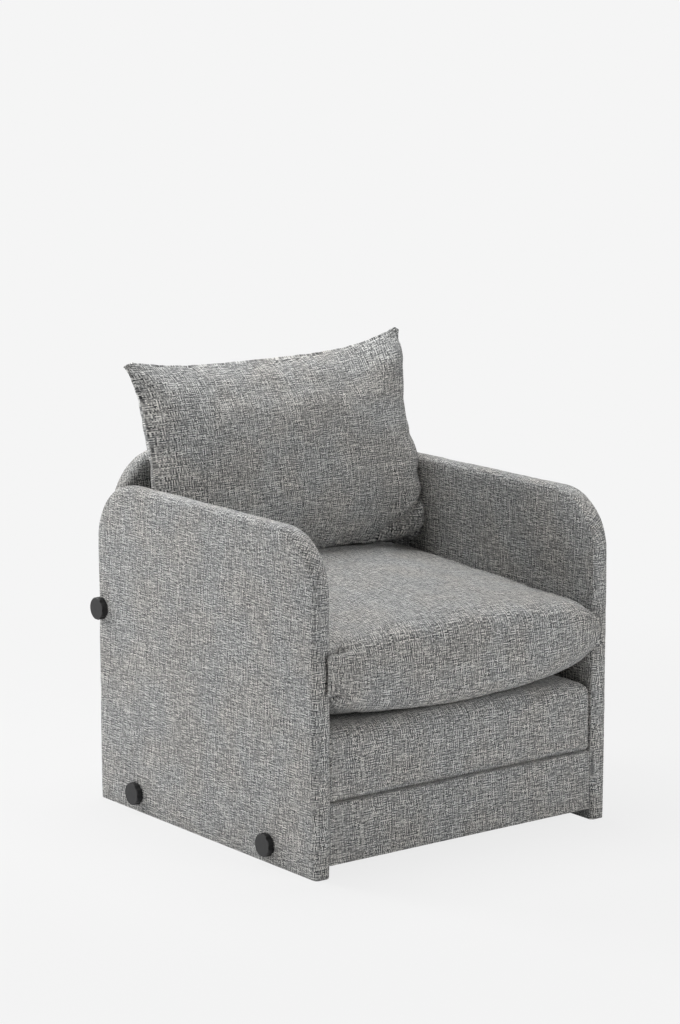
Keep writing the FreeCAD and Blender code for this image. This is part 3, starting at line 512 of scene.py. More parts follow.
def sheetMesh(points, panels, wrapped):
    # points[row, column] of a closed or open tube of cloth; a panel is its first and last row
    # and uv[row, column]
    rows, columns = points.shape[:2]
    steps = columns - 1
    bm = bmesh.new()
    layer = bm.loops.layers.uv.new("weave")
    keep = steps if wrapped else columns
    made = [[bm.verts.new(points[r, c]) for c in range(keep)] for r in range(rows)]
    for first, last, uv in panels:
        for r in range(first, last):
            for c in range(steps):
                ring = ((r, c), (r, c + 1), (r + 1, c + 1), (r + 1, c))
                corners = [made[i][j % keep if wrapped else j] for i, j in ring]
                face = bm.faces.new(corners)
                for loop, (i, j) in zip(face.loops, ring):
                    loop[layer].uv = uv[i, j]
    return bm


def finishMesh(bm, name, material=weave, merge=0.01 * mm):
    bmesh.ops.remove_doubles(bm, verts=bm.verts, dist=merge)
    bmesh.ops.dissolve_degenerate(bm, edges=bm.edges, dist=merge)
    bmesh.ops.recalc_face_normals(bm, faces=bm.faces)
    mesh = bpy.data.meshes.new(name)
    bm.to_mesh(mesh)
    bm.free()
    mesh.polygons.foreach_set("use_smooth", [True] * len(mesh.polygons))
    mesh.materials.append(material)
    piece = bpy.data.objects.new(name, mesh)
    scene.collection.objects.link(piece)
    return piece


def coordinates(piece):
    flat = np.zeros(len(piece.data.vertices) * 3)
    piece.data.vertices.foreach_get("co", flat)
    return flat.reshape(-1, 3)


def vertexNormals(piece):
    flat = np.zeros(len(piece.data.vertices) * 3)
    piece.data.vertices.foreach_get("normal", flat)
    return flat.reshape(-1, 3)


def moveVertices(piece, points):
    piece.data.vertices.foreach_set("co", points.ravel())
    piece.data.update()


def outlineRing(shape, inset, step):
    # the outline of a side panel drawn in by an inset; every inset gives the same number of points
    (lowA, lowB), (highA, highB) = shape["low"], shape["high"]
    opened = shape["open"]
    corners = [(lowA, lowB), (lowA, highB), (highA, highB), (highA, lowB)]
    ways = [np.array(way, float) for way in ((0, 1), (1, 0), (0, -1), (-1, 0))]
    lengths = [highB - lowB, highA - lowA] * 2
    inner = []
    for a, b in corners:
        drawnA = inset if a == lowA else -inset
        drawnB = inset if b == lowB else -inset
        if opened and b == lowB:
            drawnB = 0
        inner.append(np.array((a + drawnA, b + drawnB)))
    room = max(min(abs(inner[2][0] - inner[0][0]), abs(inner[2][1] - inner[0][1])) / 2, 0)
    radii = [min(max(radius - inset, radius * 0.3), room) for radius in shape["radii"]]
    points, outward = [], []
    for side in range(3 if opened else 4):
        following = (side + 1) % 4
        way, turn = ways[side], ways[following]
        start = inner[side] + way * radii[side]
        end = inner[following] - way * radii[following]
        straight = lengths[side] - shape["radii"][side] - shape["radii"][following]
        count = max(2, round(straight / step))
        for i in range(count):
            points.append(start + (end - start) * i / count)
            outward.append(np.array((-way[1], way[0])))
        if opened and side == 2:
            points.append(end)
            outward.append(np.array((-way[1], way[0])))
            break
        bend = shape["radii"][following]
        turns = max(3, round(bend * math.pi / 2 / step * 1.5))
        centre = end + turn * radii[following]
        for i in range(turns):
            angle = math.pi / 2 * i / turns
            normal = way * math.sin(angle) - turn * math.cos(angle)
            points.append(centre + normal * radii[following])
            outward.append(normal)
    if not opened:
        points.append(points[0])
        outward.append(outward[0])
    return np.array(points), np.array(outward)


def paddedBlock(name, shape):
    # a block with rounded rims: side panels at both ends of an axis, and the band between them
    step, rim, half, middle = shape["step"], shape["rim"], shape["half"], shape["middle"]
    flip = shape.get("flip", 1)
    spanA, spanB = shape["high"][0] - shape["low"][0], shape["high"][1] - shape["low"][1]
    widest = min(spanA, spanB * (2 if shape["open"] else 1)) / 2
    panelInsets = list(np.linspace(widest, rim, max(4, round((widest - rim) / step)) + 1)[:-1])
    angles = np.linspace(math.pi / 2, 0, shape["rimSteps"] + 1)
    bandHalf = half - rim
    bandSteps = max(2, round(2 * bandHalf / step))
    aroundRim = rim * math.pi / 2
    # each row has its inset, its place along the axis and its distance over the cloth from the near rim
    rows = [(inset, -half, rim - inset) for inset in panelInsets]
    for t in angles:
        rows.append((rim * (1 - math.cos(t)), -bandHalf - rim * math.sin(t), rim * (math.pi / 2 - t)))
    near = len(rows) - 1
    for w in np.linspace(-bandHalf, bandHalf, bandSteps + 1)[1:-1]:
        rows.append((0, w, aroundRim + w + bandHalf))
    far = len(rows)
    for t in angles[::-1]:
        across = aroundRim + 2 * bandHalf + rim * t
        rows.append((rim * (1 - math.cos(t)), bandHalf + rim * math.sin(t), across))
    rows += [(inset, half, 2 * aroundRim + 2 * bandHalf + inset - rim) for inset in panelInsets[::-1]]
    base, outward = outlineRing(shape, 0, step)
    rimLine, _ = outlineRing(shape, rim, step)
    walked = np.concatenate(([0], np.cumsum(np.linalg.norm(np.diff(base, axis=0), axis=1))))
    # the far panel and the band are cut from other places of the cloth
    farCut, bandCut = np.array((1.7, 0.9)), 0.4
    points, sideUv, farUv, bandUv = [], [], [], []
    for inset, w, unrolled in rows:
        ring, _ = outlineRing(shape, inset, step)
        w3 = np.full(len(ring), middle + flip * w)
        a, b = ring[:, 0], ring[:, 1]
        points.append(np.stack((w3, a, b) if shape["plane"] == "yz" else (a, w3, b), axis=1))
        sideUv.append(ring if unrolled <= 0 else rimLine + outward * unrolled)
        farUv.append(ring + farCut)
        bandUv.append(np.stack((np.full(len(ring), unrolled), walked + bandCut), axis=1))
    points = np.array(points)
    sideUv, farUv, bandUv = np.array(sideUv), np.array(farUv), np.array(bandUv)
    last = len(rows) - 1
    if shape["cut"] == "side":
        # one panel runs from the near side over the band to a seam on the far rim, which stands up a
        # little, with a shallow groove on either side
        seam = far + round(shape["rimSteps"] * 0.6)
        panels = [(0, seam, sideUv), (seam, last, farUv)]
        lift = points[seam] - (points[seam - 1] + points[seam + 1]) / 2
        lift /= np.maximum(np.linalg.norm(lift, axis=1, keepdims=True), 1e-9)
        points[seam] += lift * shape["seamRise"]
        points[seam - 1] -= lift * shape["seamRise"] * 0.5
        points[seam + 1] -= lift * shape["seamRise"] * 0.5
    else:
        # a band lies between the two side panels
        nearSeam, farSeam = near - shape["rimSteps"] // 2, far + shape["rimSteps"] // 2
        panels = [(0, nearSeam, farUv), (nearSeam, farSeam, bandUv), (farSeam, last, farUv)]
    if "deform" in shape:
        points = shape["deform"](points)
    bm = sheetMesh(points, panels, not shape["open"])
    if shape["open"]:
        foldUnder(bm, shape)
    return finishMesh(bm, name)


def foldUnder(bm, shape):
    # the cloth turns under the foot and ends in a hem
    turn = 1.2 * mm
    hemRise = 0.3 * mm
    bmesh.ops.remove_doubles(bm, verts=bm.verts, dist=0.01 * mm)
    foot = shape["low"][1]
    hem = shape["hem"]
    border = [edge for edge in bm.edges if edge.is_boundary]
    layer = bm.loops.layers.uv.active
    axis = 0 if shape["plane"] == "yz" else 1
    other = 1 - axis
    centre = Vector((0, 0, 0))
    centre[axis] = shape["middle"]
    centre[other] = (shape["low"][0] + shape["high"][0]) / 2
    halfSizes = Vector((0, 0, 0))
    halfSizes[axis] = shape["half"]
    halfSizes[other] = (shape["high"][0] - shape["low"][0]) / 2
    for edge in border:
        for vert in edge.verts:
            vert.co.z = foot + turn
    for inward, rise in ((turn, 0.0), (hem, hemRise)):
        made = bmesh.ops.extrude_edge_only(bm, edges=border)["geom"]
        border = [item for item in made if isinstance(item, bmesh.types.BMEdge) and item.is_boundary]
        for vert in {vert for edge in border for vert in edge.verts}:
            for i in (axis, other):
                offset = vert.co[i] - centre[i]
                kept = max(min(abs(offset), halfSizes[i] - inward), 0)
                vert.co[i] = centre[i] + math.copysign(kept, offset)
            vert.co.z = foot + rise
        for item in made:
            if isinstance(item, bmesh.types.BMFace):
                for loop in item.loops:
                    loop[layer].uv = (loop.vert.co.x + 0.3, loop.vert.co.y)


def rideAs(piece, body, *replaced, fill):
    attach(piece, body)
    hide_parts(*replaced)


# Arms and back panel

panelSurface = {
    "ripples": ((0.35 * mm, 90 * mm), (0.18 * mm, 28 * mm)),  # height and wavelength
    "dimpleFrom": 10 * mm,  # from the middle of a stud
    "dimpleReach": 38 * mm,
    "footReach": 30 * mm,  # height over which the swell sets in
}


def softenPanel(piece, axis, swell, seed, dimples=()):
    # the panels swell a little over their foam, less where a stud pulls them in
    points = coordinates(piece)
    normals = vertexNormals(piece)
    amount = swell * np.abs(normals[:, axis]) ** 2
    for i, (height, wavelength) in enumerate(panelSurface["ripples"]):
        amount += height * ripple(points, wavelength, seed + i)
    flat = points[:, [i for i in range(3) if i != axis]]
    for spot in dimples:
        away = np.linalg.norm(flat - np.array(spot), axis=1)
        amount *= smooth((away - panelSurface["dimpleFrom"]) / panelSurface["dimpleReach"])
    amount *= smooth((points[:, 2] - points[:, 2].min()) / panelSurface["footReach"])
    moveVertices(piece, points + normals * amount[:, None])


armShape = {
    "cornerRadius": 114 * mm,
    "rim": 12 * mm,
    "rimSteps": 6,
    "step": 11 * mm,
    "swell": 1.3 * mm,
    "seamRise": 0.9 * mm,
    "hem": 13 * mm,
    "fill": 0.9,
}
studSpots = []
for name in ("front", "rear", "back"):
    low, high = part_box(f"left_{name}_stud")
    studSpots.append(((low.y + high.y) / 2, (low.z + high.z) / 2))
for side, sign in (("left", -1), ("right", 1)):
    low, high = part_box(f"{side}_arm_cover")
    piece = paddedBlock(f"{side}ArmCover", {
        "plane": "yz",
        "open": True,
        "cut": "side",
        "low": (low.y, low.z),
        "high": (high.y, high.z),
        "radii": (0, armShape["cornerRadius"], armShape["cornerRadius"], 0),
        "middle": (low.x + high.x) / 2,
        "half": (high.x - low.x) / 2,
        "flip": -sign,
        "rim": armShape["rim"],
        "rimSteps": armShape["rimSteps"],
        "step": armShape["step"],
        "seamRise": armShape["seamRise"],
        "hem": armShape["hem"],
    })
    softenPanel(piece, 0, armShape["swell"], 11 + sign, studSpots)
    rideAs(piece, "chair_frame", f"{side}_arm_cover", f"{side}_arm_foam", fill=armShape["fill"])

backShape = {
    "cornerRadius": 110 * mm,
    "swell": 1.5 * mm,
}
low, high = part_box("back_cover")
backCover = paddedBlock("backPanelCover", {
    "plane": "xz",
    "open": True,
    "cut": "side",
    "low": (low.x, low.z),
    "high": (high.x, high.z),
    "radii": (0, backShape["cornerRadius"], backShape["cornerRadius"], 0),
    "middle": (low.y + high.y) / 2,
    "half": (high.y - low.y) / 2,
    "rim": armShape["rim"],
    "rimSteps": armShape["rimSteps"],
    "step": armShape["step"],
    "seamRise": armShape["seamRise"],
    "hem": armShape["hem"],
})
softenPanel(backCover, 1, backShape["swell"], 29)
rideAs(backCover, "chair_frame", "back_cover", "back_foam", fill=armShape["fill"])
print("arms and back panel made")


# Base and middle section

def roundCorner(points, axisA, axisB, cornerA, cornerB, radiusA, radiusB):
    # pulls points beyond an elliptical corner onto it; the corner points outwards along both axes
    signA = math.copysign(1, cornerA)
    centreA = cornerA - signA * radiusA
    centreB = cornerB[0] - cornerB[1] * radiusB
    a = (points[..., axisA] - centreA) * signA / radiusA
    b = (points[..., axisB] - centreB) * cornerB[1] / radiusB
    reach = np.hypot(a, b)
    beyond = (a > 0) & (b > 0) & (reach > 1)
    scale = np.where(beyond, 1 / np.maximum(reach, 1e-9), 1)
    points[..., axisA] = np.where(beyond, centreA + signA * a * scale * radiusA, points[..., axisA])
    points[..., axisB] = np.where(beyond, centreB + cornerB[1] * b * scale * radiusB, points[..., axisB])
    return points


sectionShape = {
    "rim": 7 * mm,
    "profile": 10 * mm,
    "frontTop": 30 * mm,
    "rearTop": 12 * mm,
    "step": 12 * mm,
    "frontSwell": 3.2 * mm,
    "topCorner": 24 * mm,
    "lowCorner": (17 * mm, 6 * mm),
}
baseLow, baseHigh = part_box("base_cover")
baseCover = paddedBlock("baseCover", {
    "plane": "yz",
    "open": True,
    "cut": "band",
    "low": (baseLow.y, baseLow.z),
    "high": (baseHigh.y, baseHigh.z),
    "radii": (0, sectionShape["profile"] * 0.6, sectionShape["profile"], 0),
    "middle": 0,
    "half": baseHigh.x,
    "rim": sectionShape["rim"] * 0.7,
    "rimSteps": 4,
    "step": sectionShape["step"],
    "hem": 20 * mm,
})
points = coordinates(baseCover)
normals = vertexNormals(baseCover)
facing = smooth(-normals[:, 1])
inside = smooth((baseHigh.x - np.abs(points[:, 0])) / (60 * mm))
inside *= smooth((baseHigh.z - points[:, 2]) / (30 * mm)) * smooth((points[:, 2] - baseLow.z) / (30 * mm))
above = smooth((points[:, 2] - baseLow.z) / (20 * mm))
# the front stays behind the plane of the hinge, where the middle section comes to lie against it
amount = (1.6 * mm * (inside - 1) + 0.25 * mm * (ripple(points, 80 * mm, 5) - 2)) * facing * above
moveVertices(baseCover, points + normals * amount[:, None])
rideAs(baseCover, "chair_frame", "base_cover", "base_foam", fill=0.9)

middleLow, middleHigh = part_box("middle_cover")


def softenMiddle(points):
    for x in (middleLow.x, middleHigh.x):
        radius = sectionShape["topCorner"]
        points = roundCorner(points, 0, 2, x, (middleHigh.z, 1), radius, radius)
        points = roundCorner(points, 0, 2, x, (middleLow.z, -1), *sectionShape["lowCorner"])
    return points


middleCover = paddedBlock("middleSectionCover", {
    "plane": "yz",
    "open": False,
    "cut": "band",
    "low": (middleLow.y, middleLow.z),
    "high": (middleHigh.y, middleHigh.z),
    "radii": [sectionShape[name] for name in ("profile", "frontTop", "rearTop", "profile")],
    "middle": 0,
    "half": middleHigh.x,
    "rim": sectionShape["rim"],
    "rimSteps": 5,
    "step": sectionShape["step"],
    "deform": softenMiddle,
})
points = coordinates(middleCover)
normals = vertexNormals(middleCover)
facing = smooth(-normals[:, 1] * 1.2)
inside = smooth((middleHigh.x - np.abs(points[:, 0])) / (70 * mm))
inside *= smooth((points[:, 2] - middleLow.z) / (40 * mm))
amount = (sectionShape["frontSwell"] * (inside - 1) + 0.3 * mm * (ripple(points, 85 * mm, 8) - 2)) * facing
moveVertices(middleCover, points + normals * amount[:, None])
rideAs(middleCover, "middle_section", "middle_cover", "middle_foam", fill=1.0)
print("base and middle section made")


# Cloth simulation

def inflate(piece, settings, pinned):
    # air pressure fills the cover between its pinned seams; no point moves further than the cap
    start = coordinates(piece)
    group = piece.vertex_groups.new(name="pin")
    group.add([int(i) for i in pinned], 1.0, "REPLACE")
    modifier = piece.modifiers.new("cloth", "CLOTH")
    fabric = modifier.settings
    fabric.quality = 8
    fabric.mass = 0.3
    fabric.tension_stiffness = settings["stiffness"]
    fabric.compression_stiffness = settings["stiffness"]
    fabric.shear_stiffness = settings["stiffness"] / 3
    fabric.bending_stiffness = settings["bending"]
    fabric.tension_damping = 10
    fabric.compression_damping = 10
    fabric.shear_damping = 8
    fabric.air_damping = 4
    fabric.use_pressure = True
    fabric.uniform_pressure_force = settings["pressure"]
    fabric.shrink_min = -settings["spare"]
    fabric.shrink_max = -settings["spare"]
    fabric.vertex_group_mass = "pin"
    fabric.effector_weights.gravity = 0
    modifier.collision_settings.use_collision = False
    modifier.collision_settings.use_self_collision = False
    modifier.point_cache.frame_start = 1
    modifier.point_cache.frame_end = settings["frames"]
    for frameNumber in range(1, settings["frames"] + 1):
        scene.frame_set(frameNumber)
    depsgraph = bpy.context.evaluated_depsgraph_get()
    evaluated = piece.evaluated_get(depsgraph).to_mesh()
    flat = np.zeros(len(evaluated.vertices) * 3)
    evaluated.vertices.foreach_get("co", flat)
    piece.evaluated_get(depsgraph).to_mesh_clear()
    moved = flat.reshape(-1, 3) - start
    distance = np.linalg.norm(moved, axis=1)
    limit = settings["cap"]
    moved *= (np.minimum(distance, limit) / np.maximum(distance, 1e-9))[:, None]
    piece.modifiers.remove(modifier)
    piece.vertex_groups.remove(group)
    scene.frame_set(1)
    moveVertices(piece, start + moved)
    print(f"  {piece.name} filled: its points moved {distance.mean() / mm:.1f} mm on average")


def subdivided(piece):
    # one smooth subdivision, with its weave coordinates kept straight
    modifier = piece.modifiers.new("smoother", "SUBSURF")
    modifier.levels = modifier.render_levels = 1
    modifier.uv_smooth = "PRESERVE_BOUNDARIES"
    mesh = bpy.data.meshes.new_from_object(piece.evaluated_get(bpy.context.evaluated_depsgraph_get()))
    piece.modifiers.remove(modifier)
    piece.data = mesh
    mesh.polygons.foreach_set("use_smooth", [True] * len(mesh.polygons))


def distanceTo(points, path):
    # distance of every point from a line of straight stretches, and how far along it that is, 0 to 1
    path = np.array(path, float)
    lengths = np.linalg.norm(np.diff(path, axis=0), axis=1)
    before = np.concatenate(([0], np.cumsum(lengths)))
    best = np.full(len(points), np.inf)
    share = np.zeros(len(points))
    for i, length in enumerate(lengths):
        way = (path[i + 1] - path[i]) / length
        along = np.clip((points - path[i]) @ way, 0, length)
        distance = np.linalg.norm(points - path[i] - along[:, None] * way, axis=1)
        closer = distance < best
        best[closer] = distance[closer]
        share[closer] = (before[i] + along[closer]) / before[-1]
    return best, share


def crease(points, flat, path, depth, width, where, ends=(1, 0)):
    # a fold line with a soft swell beside it; ends say how strong it is at its start and its end, and
    # equal ends let it fade towards both
    distance, share = distanceTo(flat, path)
    if ends[0] == ends[1]:
        strength = np.sin(np.pi * np.clip(share, 0.02, 0.98)) ** 0.5
    else:
        strength = ends[0] + (ends[1] - ends[0]) * share ** 1.5
    past = np.where((share <= 0) | (share >= 1), 0.6, 1.0)
    groove = -depth * np.exp(-(distance / width) ** 1.4)
    swell = 0.4 * depth * np.exp(-((distance - 2.6 * width) / (1.6 * width)) ** 2)
    return (groove + swell) * strength * past * where


def seamRidge(piece, seam, rise, groove):
    # the two cloth edges that are sewn together stand up as a thin ridge between shallow grooves
    points = coordinates(piece)
    normals = vertexNormals(piece)
    distance = np.full(len(points), np.inf)
    lowest, highest = seam.min(axis=0) - 0.02, seam.max(axis=0) + 0.02
    close = np.nonzero(np.all((points > lowest) & (points < highest), axis=1))[0]
    for start in range(0, len(close), 1500):
        chunk = close[start:start + 1500]
        apart = np.linalg.norm(points[chunk][:, None, :] - seam[None, :, :], axis=2)
        distance[chunk] = np.min(apart, axis=1)
    amount = rise * np.exp(-(distance / (0.9 * mm)) ** 2)
    amount -= groove * np.exp(-((distance - 4.5 * mm) / (2.6 * mm)) ** 2)
    moveVertices(piece, points + normals * amount[:, None])


def closeLine(line, step):
    # a line with a point at least every step
    dense = []
    for start, end in zip(line[:-1], line[1:]):
        count = max(1, math.ceil(np.linalg.norm(end - start) / step))
        dense += [start + (end - start) * i / count for i in range(count)]
    return np.array(dense + [line[-1]])


def keepNear(piece, nodeName, outside, inside, held):
    # holds the cover close to the form that its solid gives
    solid = nodes[nodeName].data
    tree = BVHTree.FromPolygons([v.co for v in solid.vertices], [p.vertices for p in solid.polygons])
    points = coordinates(piece)
    shift = np.zeros_like(points)
    for i in np.nonzero(~held)[0]:
        spot = Vector(points[i])
        nearest, normal, _, distance = tree.find_nearest(spot)
        outward = (spot - nearest).dot(normal) > 0
        limit = outside if outward else inside
        if distance > limit:
            shift[i] = (nearest - spot) * (1 - limit / distance)
    edges = np.zeros(len(piece.data.edges) * 2, int)
    piece.data.edges.foreach_get("vertices", edges)
    edges = edges.reshape(-1, 2)
    count = np.bincount(edges.ravel(), minlength=len(points))[:, None]
    # the shifts are evened out from point to point, so that no steps show
    for _ in range(4):
        total = np.zeros_like(shift)
        np.add.at(total, edges[:, 0], shift[edges[:, 1]])
        np.add.at(total, edges[:, 1], shift[edges[:, 0]])
        shift = (shift + total / count) / 2
        shift[held] = 0
    moveVertices(piece, points + shift)


def gradedSteps(count, ends):
    # places from -1 to 1, closer together towards both ends
    t = np.linspace(-1, 1, count)
    return np.sign(t) * (1 - (1 - np.abs(t)) ** ends)


def throughPoints(control, counts):
    # a closed smooth line (Catmull-Rom) through control points, with a set number of points per stretch
    control = np.array(control, float)
    points = []
    for i in range(len(control)):
        p0, p1, p2, p3 = (control[(i + k) % len(control)] for k in (-1, 0, 1, 2))
        slope, bend, twist = p2 - p0, 2 * p0 - 5 * p1 + 4 * p2 - p3, 3 * p1 - p0 - 3 * p2 + p3
        for j in range(counts[i]):
            t = j / counts[i]
            points.append(0.5 * (2 * p1 + slope * t + bend * t ** 2 + twist * t ** 3))
    points.append(points[0])
    return np.array(points)


# Seat pad

seatLow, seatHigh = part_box("seat_cover")
seat = {
    "halfWidth": 301 * mm,
    "frontEar": 11 * mm,
    "rearEar": 2 * mm,
    "frontEarLength": 26 * mm,
    "rearEarLength": 40 * mm,
    "columns": 73,
    "sideBulge": 3 * mm,
    "drawnIn": 2 * mm,  # of the sides between the corners
    # the middle line of the pad from the lower front, up over the nose and back under: y, z in mm
    "middle": [
        (-350, 303), (-357, 325), (-359, 350), (-356, 378), (-347, 402),
        (-328, 424), (-290, 441), (-200, 452), (-60, 458), (80, 460), (190, 459), (260, 450),
        (290, 430), (302, 396), (304, 350), (299, 305),
        (286, 279), (200, 270), (0, 269), (-200, 269), (-300, 279), (-335, 289),
    ],
    # the seam line at the sides, point for point
    "side": [
        (-349, 341), (-350, 357), (-350, 374), (-350, 391), (-349, 408),
        (-330, 410), (-290, 413), (-200, 419), (-60, 425), (80, 431), (190, 437), (260, 436),
        (288, 430), (293, 396), (293, 350), (291, 305),
        (284, 285), (200, 274), (0, 272), (-200, 276), (-300, 298), (-333, 324),
    ],
    "counts": [5, 5, 5, 5, 5, 5, 9, 13, 13, 11, 7, 5, 5, 5, 5, 4, 8, 16, 16, 9, 5, 4],
    # the side panels close along a line through their middle: from and to in y, its heights, its steps
    "spine": (-300 * mm, 240 * mm),
    "spineHeights": ([-350 * mm, 0, 300 * mm], [374.5 * mm, 350 * mm, 360 * mm]),
    "spineStep": 20 * mm,
    "sideShares": (0.08, 0.2, 0.36, 0.55, 0.77, 1.0),
    "uvHalfWidth": 0.318,
    "sideCut": np.array((2.3, 0.5)),  # where the side panels are cut from the cloth
    "filling": {
        "pressure": 4.0,
        "spare": 0.012,
        "stiffness": 12,
        "bending": 0.4,
        "frames": 18,
        "cap": 12 * mm,
    },
    "outside": 3 * mm,  # how far the cover may lie outside and inside its solid
    "inside": 7 * mm,
    # folds at the left front corner: x, z in metres for the first two, then x, y
    "upperFold": [(-0.306, 0.4075), (-0.273, 0.409), (-0.240, 0.412)],
    "lowerFold": [(-0.312, 0.321), (-0.290, 0.330), (-0.266, 0.324), (-0.242, 0.319), (-0.190, 0.320)],
    "valley": [(-0.282, -0.345), (-0.276, -0.300), (-0.280, -0.220), (-0.288, -0.120)],
    "earDrop": 11 * mm,  # of the right front ear, which hangs a little and points outwards
    "earTurn": 2 * mm,
    "finTops": ((-1, 407 * mm), (1, 396 * mm)),  # side and height of the fin at each front ear
    "finWidth": 3.4 * mm,
    "fill": 0.85,
}
middleLine = throughPoints(seat["middle"], seat["counts"]) * mm
# the seam is straight between its points, so that the corners stay sharp
sideControl = np.array(seat["side"], float)
sideLine = []
for i, count in enumerate(seat["counts"]):
    start, end = sideControl[i], sideControl[(i + 1) % len(sideControl)]
    sideLine += [start + (end - start) * j / count for j in range(count)]
sideLine = np.array(sideLine + [sideLine[0]]) * mm
# the crown falls off towards the sides earlier on the top than on the front
topness = smooth((middleLine[:, 1] - 395 * mm) / (40 * mm))
fallOff = 6 - 2.4 * topness
along = sideLine[:, 0]
ear = seat["frontEar"] * np.exp(-((along + 350 * mm) / seat["frontEarLength"]) ** 2)
ear += seat["rearEar"] * np.exp(-((along - 300 * mm) / seat["rearEarLength"]) ** 2)
edgeX = seat["halfWidth"] + ear
walked = np.concatenate(([0], np.cumsum(np.linalg.norm(np.diff(middleLine, axis=0), axis=1))))
rows, uvRows = [], []
for t in gradedSteps(seat["columns"], 1.7):
    rise = 1 - np.abs(t) ** fallOff
    profile = sideLine + (middleLine - sideLine) * rise[:, None]
    x = t * (edgeX - seat["drawnIn"] * (1 - abs(t)))
    rows.append(np.stack((x, profile[:, 0], profile[:, 1]), axis=1))
    across = np.full(len(middleLine), t * seat["uvHalfWidth"] + 0.35)
    uvRows.append(np.stack((across, walked + 0.2), axis=1))
# points from above and below meet on the spine in shared places
spineY = np.round(np.clip(sideLine[:, 0], *seat["spine"]) / seat["spineStep"]) * seat["spineStep"]
spine = np.stack((spineY, np.interp(spineY, *seat["spineHeights"])), axis=1)
sideRows, sideUvs = [], []
for share in seat["sideShares"]:
    inward = sideLine + (spine - sideLine) * share
    bulge = seat["sideBulge"] * math.sin(math.pi / 2 * share)
    x = edgeX * (1 - share) + seat["halfWidth"] * share + bulge
    sideRows.append(np.stack((x, inward[:, 0], inward[:, 1]), axis=1))
    sideUvs.append(inward + seat["sideCut"])
leftRows = [row * np.array((-1, 1, 1)) for row in sideRows[::-1]]
allRows = np.array(leftRows + rows + sideRows)
leftEnd = len(leftRows)
rightStart = leftEnd + len(rows) - 1
edgeUv = sideLine + seat["sideCut"]
leftUv = np.array(sideUvs[::-1] + [edgeUv] * (len(allRows) - leftEnd))
rightUv = np.array([edgeUv] * (rightStart + 1) + sideUvs)
bandUv = np.array([uvRows[0]] * leftEnd + uvRows + [uvRows[-1]] * len(sideRows))
panels = [(0, leftEnd, leftUv), (leftEnd, rightStart, bandUv), (rightStart, len(allRows) - 1, rightUv)]
seatPad = finishMesh(sheetMesh(allRows, panels, True), "seatPadCover")
points = coordinates(seatPad)
onSeam = np.zeros(len(points), bool)
seamLine = np.concatenate((allRows[leftEnd], allRows[rightStart]))
for start in range(0, len(points), 2000):
    chunk = points[start:start + 2000]
    nearest = np.min(np.linalg.norm(chunk[:, None, :] - seamLine[None, :, :], axis=2), axis=1)
    onSeam[start:start + 2000] = nearest < 0.05 * mm
below = points[:, 2] < seatLow.z + 3 * mm
inflate(seatPad, seat["filling"], np.nonzero(onSeam | below)[0])
keepNear(seatPad, "seat_cover", seat["outside"], seat["inside"], onSeam)
subdivided(seatPad)


def hangEar(points):
    # the right front ear hangs a little and points outwards
    x, y, z = points.T.copy()
    corner = smooth((x - 262 * mm) / (46 * mm)) * smooth((-296 * mm - y) / (44 * mm))
    points[:, 2] -= seat["earDrop"] * corner * smooth((z - 352 * mm) / (48 * mm))
    points[:, 0] += seat["earTurn"] * corner * smooth((points[:, 2] - 325 * mm) / (20 * mm))


points = coordinates(seatPad)
hangEar(points)
x, y, z = points.T
normals = vertexNormals(seatPad)
front = (y < -300 * mm) * 1.0
onTop = smooth((z - 400 * mm) / (16 * mm))
sideways, plan = points[:, [0, 2]], points[:, :2]
amount = crease(points, sideways, seat["upperFold"], 8 * mm, 3.2 * mm, front, (1, 0.2))
amount += crease(points, sideways, seat["lowerFold"], 6.5 * mm, 3.2 * mm, front, (1, 0.25))
amount += crease(points, plan, seat["valley"], 8 * mm, 13 * mm, onTop, (0.8, 0))
amount += crease(points, plan * (-1, 1), seat["valley"], 2.5 * mm, 13 * mm, onTop, (0.7, 0))
unevenness = 0.9 * mm * ripple(points, 120 * mm, 31) + 0.35 * mm * ripple(points, 42 * mm, 32)
amount += unevenness * smooth((z - 285 * mm) / (25 * mm))
moveVertices(seatPad, points + normals * amount[:, None])
for line in (allRows[leftEnd], allRows[rightStart]):
    seam = closeLine(line, 1.5 * mm)
    hangEar(seam)
    seamRidge(seatPad, seam, 1.6 * mm, 0.9 * mm)
# the upright seam of each front ear sticks out as a narrow fin
points = coordinates(seatPad)
for sign, top in seat["finTops"]:
    fin = np.array([(sign * 312 * mm, -351 * mm, 338 * mm), (sign * 312 * mm, -351 * mm, top)])
    distance, _ = distanceTo(points * (0.5, 1, 1), fin * (0.5, 1, 1))
    near = np.exp(-(distance / seat["finWidth"]) ** 2)
    points[:, 0] += sign * 5.5 * mm * near
    points[:, 2] -= 6 * mm * near * smooth((358 * mm - points[:, 2]) / (16 * mm))
    points[:, 1] -= 4.5 * mm * near
# the rear stays behind the plane of the rear hinge, and the underside on the middle section
points[:, 1] = np.minimum(points[:, 1], seatHigh.y - 0.2 * mm)
points[:, 2] = np.maximum(points[:, 2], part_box("middle_cover")[1].z + 0.5 * mm)
moveVertices(seatPad, points)
rideAs(seatPad, "seat_pad", "seat_cover", "seat_fibre_wrap", "seat_foam", fill=seat["fill"])
print("seat pad made")


# Back cushion

